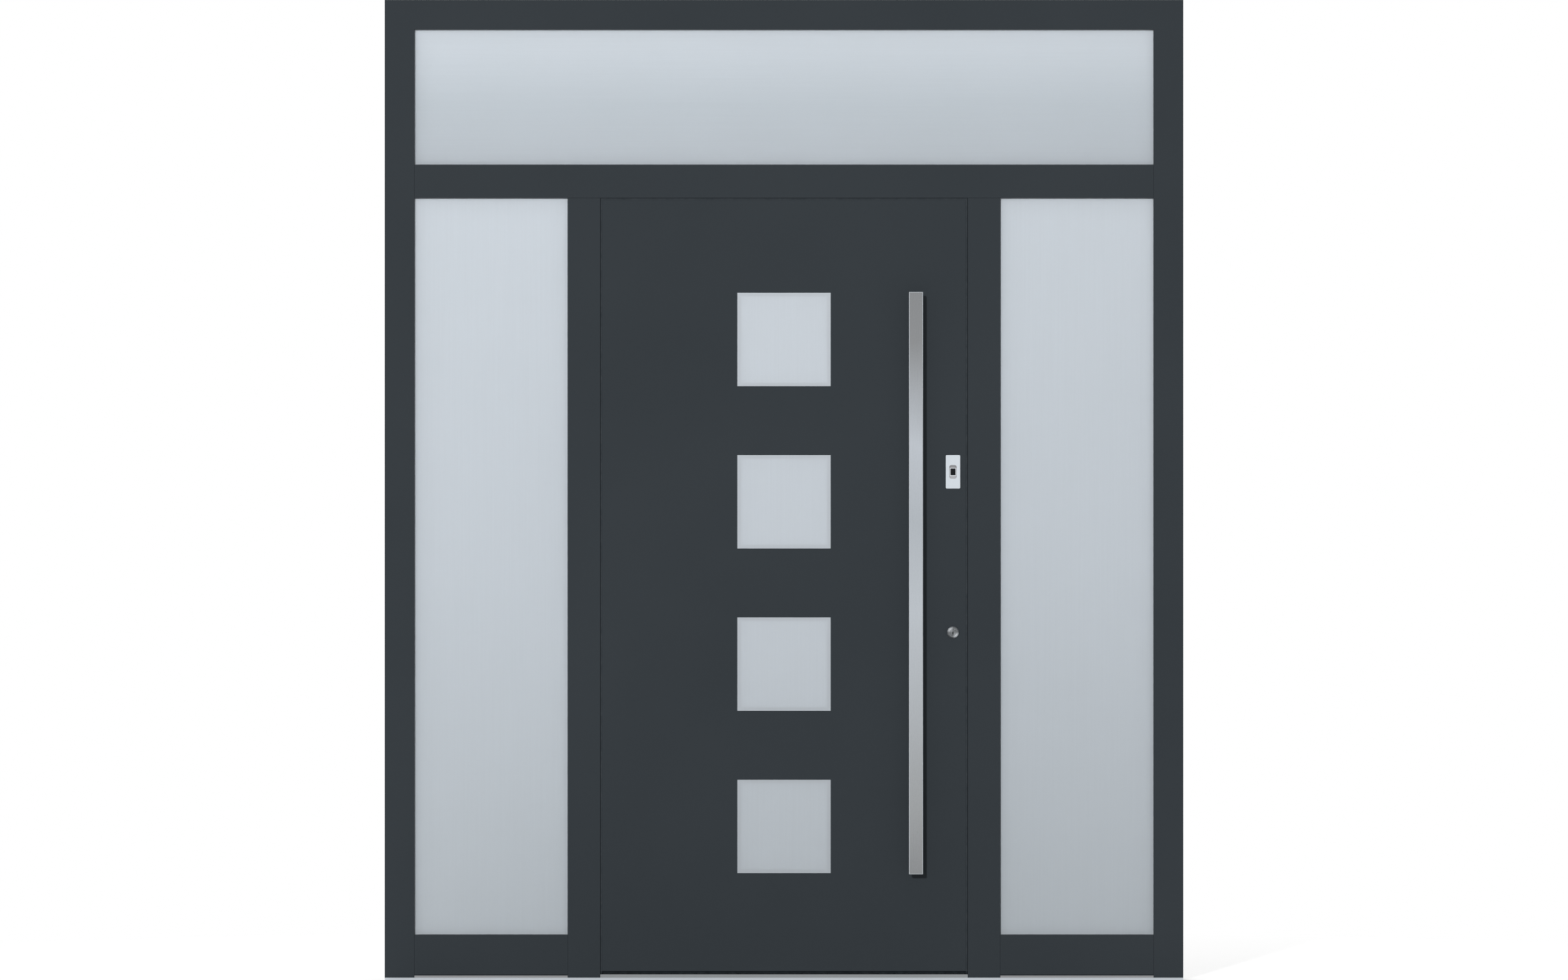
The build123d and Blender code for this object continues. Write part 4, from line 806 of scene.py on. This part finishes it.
def rounded_outline(width, height, radius, depth):
    """Rounded rectangle round the reader's middle, at a depth."""
    points = []
    for quarter, (side, level) in enumerate(((1, 1), (-1, 1), (-1, -1), (1, -1))):
        for step in range(CORNER_STEPS + 1):
            angle = math.pi / 2 * (quarter + step / CORNER_STEPS)
            points.append(Vector((
                READER_MIDDLE.x + side * (width / 2 - radius) + radius * math.cos(angle),
                depth,
                READER_MIDDLE.z + level * (height / 2 - radius) + radius * math.sin(angle),
            )))
    return points


def sensor_rim():
    """Pale rim that holds the sensor in its dish."""
    low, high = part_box("reader_sensor")
    width = high.x - low.x
    height = high.z - low.z
    outer = (width + 2 * RIM_WIDTH, height + 2 * RIM_WIDTH, RIM_CORNER)
    inner = (width + 2 * RIM_AIR, height + 2 * RIM_AIR, SENSOR_CORNER)
    bevel = RIM_PROUD / 2
    front = low.y - RIM_PROUD
    mesh = bmesh.new()
    loft(mesh, [
        rounded_outline(*outer, high.y),
        rounded_outline(*outer, front + bevel),
        rounded_outline(outer[0] - 2 * bevel, outer[1] - 2 * bevel, RIM_CORNER - bevel, front),
        rounded_outline(inner[0] + 2 * bevel, inner[1] + 2 * bevel, inner[2] + bevel, front),
        rounded_outline(*inner, front + bevel),
        rounded_outline(*inner, high.y),
    ], around=True)
    piece("sensor_rim", mesh, "leaf", rim_plastic("rim_finish"))


sensor_rim()


def foot_plugs(mesh, foot):
    """Black blocks that close the seam at both ends of the leaf's foot."""
    low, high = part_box("leaf_outer_skin")
    front = low.y + EDGE_GASKET_INSET
    back = front + EDGE_GASKET_DEPTH
    section = ((front, foot), (back, foot), (back, low.z), (front, low.z))
    for edge, side in ((low.x, -1), (high.x, 1)):
        ends = (edge - side * EDGE_GASKET_ROOT, edge + side * EDGE_GASKET_WIDE)
        loft(mesh, [[Vector((x, y, z)) for y, z in section] for x in ends])


def foot_lips():
    """Two soft sealing lips under the leaf, down to just above the threshold."""
    seal_low, seal_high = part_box("leaf_bottom_seal")
    rail_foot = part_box("leaf_bottom_rail")[0].z
    stile_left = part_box("leaf_hinge_stile")[0].x + INNER_LIP_END
    stile_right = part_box("leaf_lock_stile")[1].x - INNER_LIP_END
    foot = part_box("door_threshold")[1].z + FOOT_LIP_AIR
    half = FOOT_LIP_THICK / 2
    bulge = half * FOOT_LIP_BULGE
    tip = half * FOOT_LIP_TIP
    mesh = bmesh.new()
    for middle, top, ends in (
        ((seal_low.y + seal_high.y) / 2, seal_low.z, (seal_low.x, seal_high.x)),
        (INNER_LIP_Y, rail_foot, (stile_left, stile_right)),
    ):
        section = (
            (middle - half, top),
            (middle - bulge, foot + FOOT_LIP_BEND),
            (middle - tip, foot),
            (middle + tip, foot),
            (middle + bulge, foot + FOOT_LIP_BEND),
            (middle + half, top),
        )
        loft(mesh, [[Vector((x, y, z)) for y, z in section] for x in ends])
    foot_plugs(mesh, foot)
    piece("leaf_foot_lips", mesh, "leaf", seal_rubber)


foot_lips()


def strip_cords():
    """Rubber cords in the grooves over the strips under the side lights."""
    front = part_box("sidelight_strips")[0].y + CORD_INSET
    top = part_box("left_sidelight_rail")[0].z
    pane_low, pane_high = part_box("left_sidelight_outer_pane")
    back = front + CORD_DEPTH
    section = ((front, top - CORD_HEIGHT), (back, top - CORD_HEIGHT), (back, top), (front, top))
    mesh = bmesh.new()
    for side in (-1, 1):
        ends = (side * (pane_low.x + PANE_BITE), side * (pane_high.x - PANE_BITE))
        loft(mesh, [[Vector((x, y, z)) for y, z in section] for x in ends])
    piece("strip_cords", mesh, "frame", seal_rubber)


strip_cords()


def sweep(mesh, path, section, closed=False):
    """Runs a section along a path of (place, outward) corners. The section is (outward, y) pairs."""
    loops = []
    for place, outward in path:
        loops.append([place + outward * reach + Vector((0, depth, 0)) for reach, depth in section])
    loft(mesh, loops, closed)


def edge_gasket():
    """Grey gasket on the edge of the leaf's face: up one side, across the top and down the other."""
    low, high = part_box("leaf_outer_skin")
    front = low.y + EDGE_GASKET_INSET
    section = (
        (-EDGE_GASKET_ROOT, front),
        (EDGE_GASKET_WIDE - EDGE_GASKET_ROUND, front),
        (EDGE_GASKET_WIDE, front + EDGE_GASKET_ROUND),
        (EDGE_GASKET_WIDE, front + EDGE_GASKET_NOSE),
        (EDGE_GASKET_BACK, front + EDGE_GASKET_DEPTH),
        (-EDGE_GASKET_ROOT, front + EDGE_GASKET_DEPTH),
    )
    path = (
        (Vector((low.x, 0, low.z)), Vector((-1, 0, 0))),
        (Vector((low.x, 0, high.z)), Vector((-1, 0, 1))),
        (Vector((high.x, 0, high.z)), Vector((1, 0, 1))),
        (Vector((high.x, 0, low.z)), Vector((1, 0, 0))),
    )
    mesh = bmesh.new()
    sweep(mesh, path, section)
    piece("leaf_edge_gasket", mesh, "leaf", grey_rubber)


edge_gasket()


def stop_seal():
    """Bulb seal that the leaf closes against, in place of the plain strip of the solids."""
    low, high = SEAL_LOW, SEAL_HIGH
    foot = low.y + STOP_SEAL_FOOT
    half = STOP_SEAL_HALF
    section = [(-half, low.y), (half, low.y), (half, foot)]
    for step in range(BULB_STEPS + 1):
        angle = math.pi * step / BULB_STEPS
        reach = half * STOP_SEAL_SHARE * math.cos(angle)
        section.append((reach, foot + (high.y - foot) * math.sin(angle)))
    section.append((-half, foot))
    left, right, top = low.x + half, high.x - half, high.z - half
    path = (
        (Vector((left, 0, low.z)), Vector((-1, 0, 0))),
        (Vector((left, 0, top)), Vector((-1, 0, 1))),
        (Vector((right, 0, top)), Vector((1, 0, 1))),
        (Vector((right, 0, low.z)), Vector((1, 0, 0))),
    )
    mesh = bmesh.new()
    sweep(mesh, path, section)
    bulb = piece("stop_bulb_seal", mesh, "frame", seal_rubber)
    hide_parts("door_stop_seal")


stop_seal()


# Floor, light and camera

def seen_directly(tree):
    """One for what the camera, a reflection or a view through glass sees, zero for other light."""
    path = tree.nodes.new("ShaderNodeLightPath")
    total = None
    for kind in ("Is Camera Ray", "Is Glossy Ray", "Is Transmission Ray"):
        output = path.outputs[kind]
        if total is None:
            total = output
            continue
        add = tree.nodes.new("ShaderNodeMath")
        add.operation = "ADD"
        add.use_clamp = True
        tree.links.new(total, add.inputs[0])
        tree.links.new(output, add.inputs[1])
        total = add.outputs[0]
    return total


def studio_world():
    world = bpy.data.worlds.new("studio")
    bpy.context.scene.world = world
    world.use_nodes = True
    tree = world.node_tree
    white = tree.nodes["Background"]
    white.inputs["Color"].default_value = (1, 1, 1, 1)
    fill = tree.nodes.new("ShaderNodeBackground")
    fill.inputs["Color"].default_value = (1, 1, 1, 1)
    fill.inputs["Strength"].default_value = FILL
    mix = tree.nodes.new("ShaderNodeMixShader")
    tree.links.new(seen_directly(tree), mix.inputs["Fac"])
    tree.links.new(fill.outputs[0], mix.inputs[1])
    tree.links.new(white.outputs[0], mix.inputs[2])
    tree.links.new(mix.outputs[0], tree.nodes["World Output"].inputs["Surface"])


def floor_material():
    """Pale floor: the camera sees it white, with the object's shade on it, fading to plain white."""
    material = bpy.data.materials.new("floor_finish")
    material.use_nodes = True
    tree = material.node_tree
    tree.nodes.remove(tree.nodes["Principled BSDF"])
    direct = seen_directly(tree)
    level = tree.nodes.new("ShaderNodeMapRange")
    level.inputs["To Min"].default_value = FLOOR_GREY
    level.inputs["To Max"].default_value = FLOOR_WHITE
    tree.links.new(direct, level.inputs["Value"])
    diffuse = tree.nodes.new("ShaderNodeBsdfDiffuse")
    tree.links.new(level.outputs["Result"], diffuse.inputs["Color"])
    glow = tree.nodes.new("ShaderNodeEmission")
    caught = tree.nodes.new("ShaderNodeMixShader")
    place = tree.nodes.new("ShaderNodeTexCoord")
    away = tree.nodes.new("ShaderNodeVectorMath")
    away.operation = "LENGTH"
    fade = tree.nodes.new("ShaderNodeMapRange")
    fade.inputs["From Min"].default_value, fade.inputs["From Max"].default_value = FLOOR_FADE
    fade.inputs["To Min"].default_value = 1 - FLOOR_CATCH
    mask = tree.nodes.new("ShaderNodeMath")
    mask.operation = "MULTIPLY"
    tree.links.new(place.outputs["Object"], away.inputs[0])
    tree.links.new(away.outputs["Value"], fade.inputs["Value"])
    tree.links.new(fade.outputs["Result"], mask.inputs[0])
    tree.links.new(direct, mask.inputs[1])
    tree.links.new(mask.outputs[0], caught.inputs["Fac"])
    tree.links.new(diffuse.outputs[0], caught.inputs[1])
    tree.links.new(glow.outputs[0], caught.inputs[2])
    tree.links.new(caught.outputs[0], tree.nodes["Material Output"].inputs["Surface"])
    return material


def studio_floor():
    mesh = bmesh.new()
    bmesh.ops.create_circle(mesh, cap_ends=True, radius=FLOOR_RADIUS, segments=FLOOR_SEGMENTS)
    data = bpy.data.meshes.new("floor")
    mesh.to_mesh(data)
    mesh.free()
    data.materials.append(floor_material())
    floor = bpy.data.objects.new("floor", data)
    floor.location.z = cad_low.z - FLOOR_DROP
    bpy.context.scene.collection.objects.link(floor)


def sun(name, source, share, angle):
    """Sun lamp that lights a face turned to its compass side with so much of full white."""
    lamp = bpy.data.lights.new(name, "SUN")
    level = abs(source.normalized().y)
    lamp.energy = share * math.pi / level
    lamp.angle = angle
    holder = bpy.data.objects.new(name, lamp)
    holder.rotation_mode = "QUATERNION"
    holder.rotation_quaternion = source.to_track_quat("Z", "Y")
    holder.visible_glossy = False
    bpy.context.scene.collection.objects.link(holder)


def photograph_camera():
    data = bpy.data.cameras.new("camera")
    height = cad_high.z - cad_low.z
    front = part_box("left_jamb")[0].y
    data.sensor_width = SENSOR
    data.lens = SENSOR * CAMERA_DISTANCE * (IMAGE_HEIGHT + IMAGE_BLEED) / (height * IMAGE_WIDTH)
    data.clip_end = CAMERA_REACH
    camera = bpy.data.objects.new("camera", data)
    camera.location = (0.0, front - CAMERA_DISTANCE, cad_low.z + height / 2)
    camera.rotation_euler = (math.pi / 2, 0.0, 0.0)
    bpy.context.scene.collection.objects.link(camera)
    bpy.context.scene.camera = camera


studio_world()
studio_floor()
sun("key_light", KEY_FROM, KEY_SHARE, KEY_ANGLE)
sun("back_light", BACK_FROM, BACK_SHARE, BACK_ANGLE)
photograph_camera()
bpy.context.scene.view_settings.view_transform = "Standard"
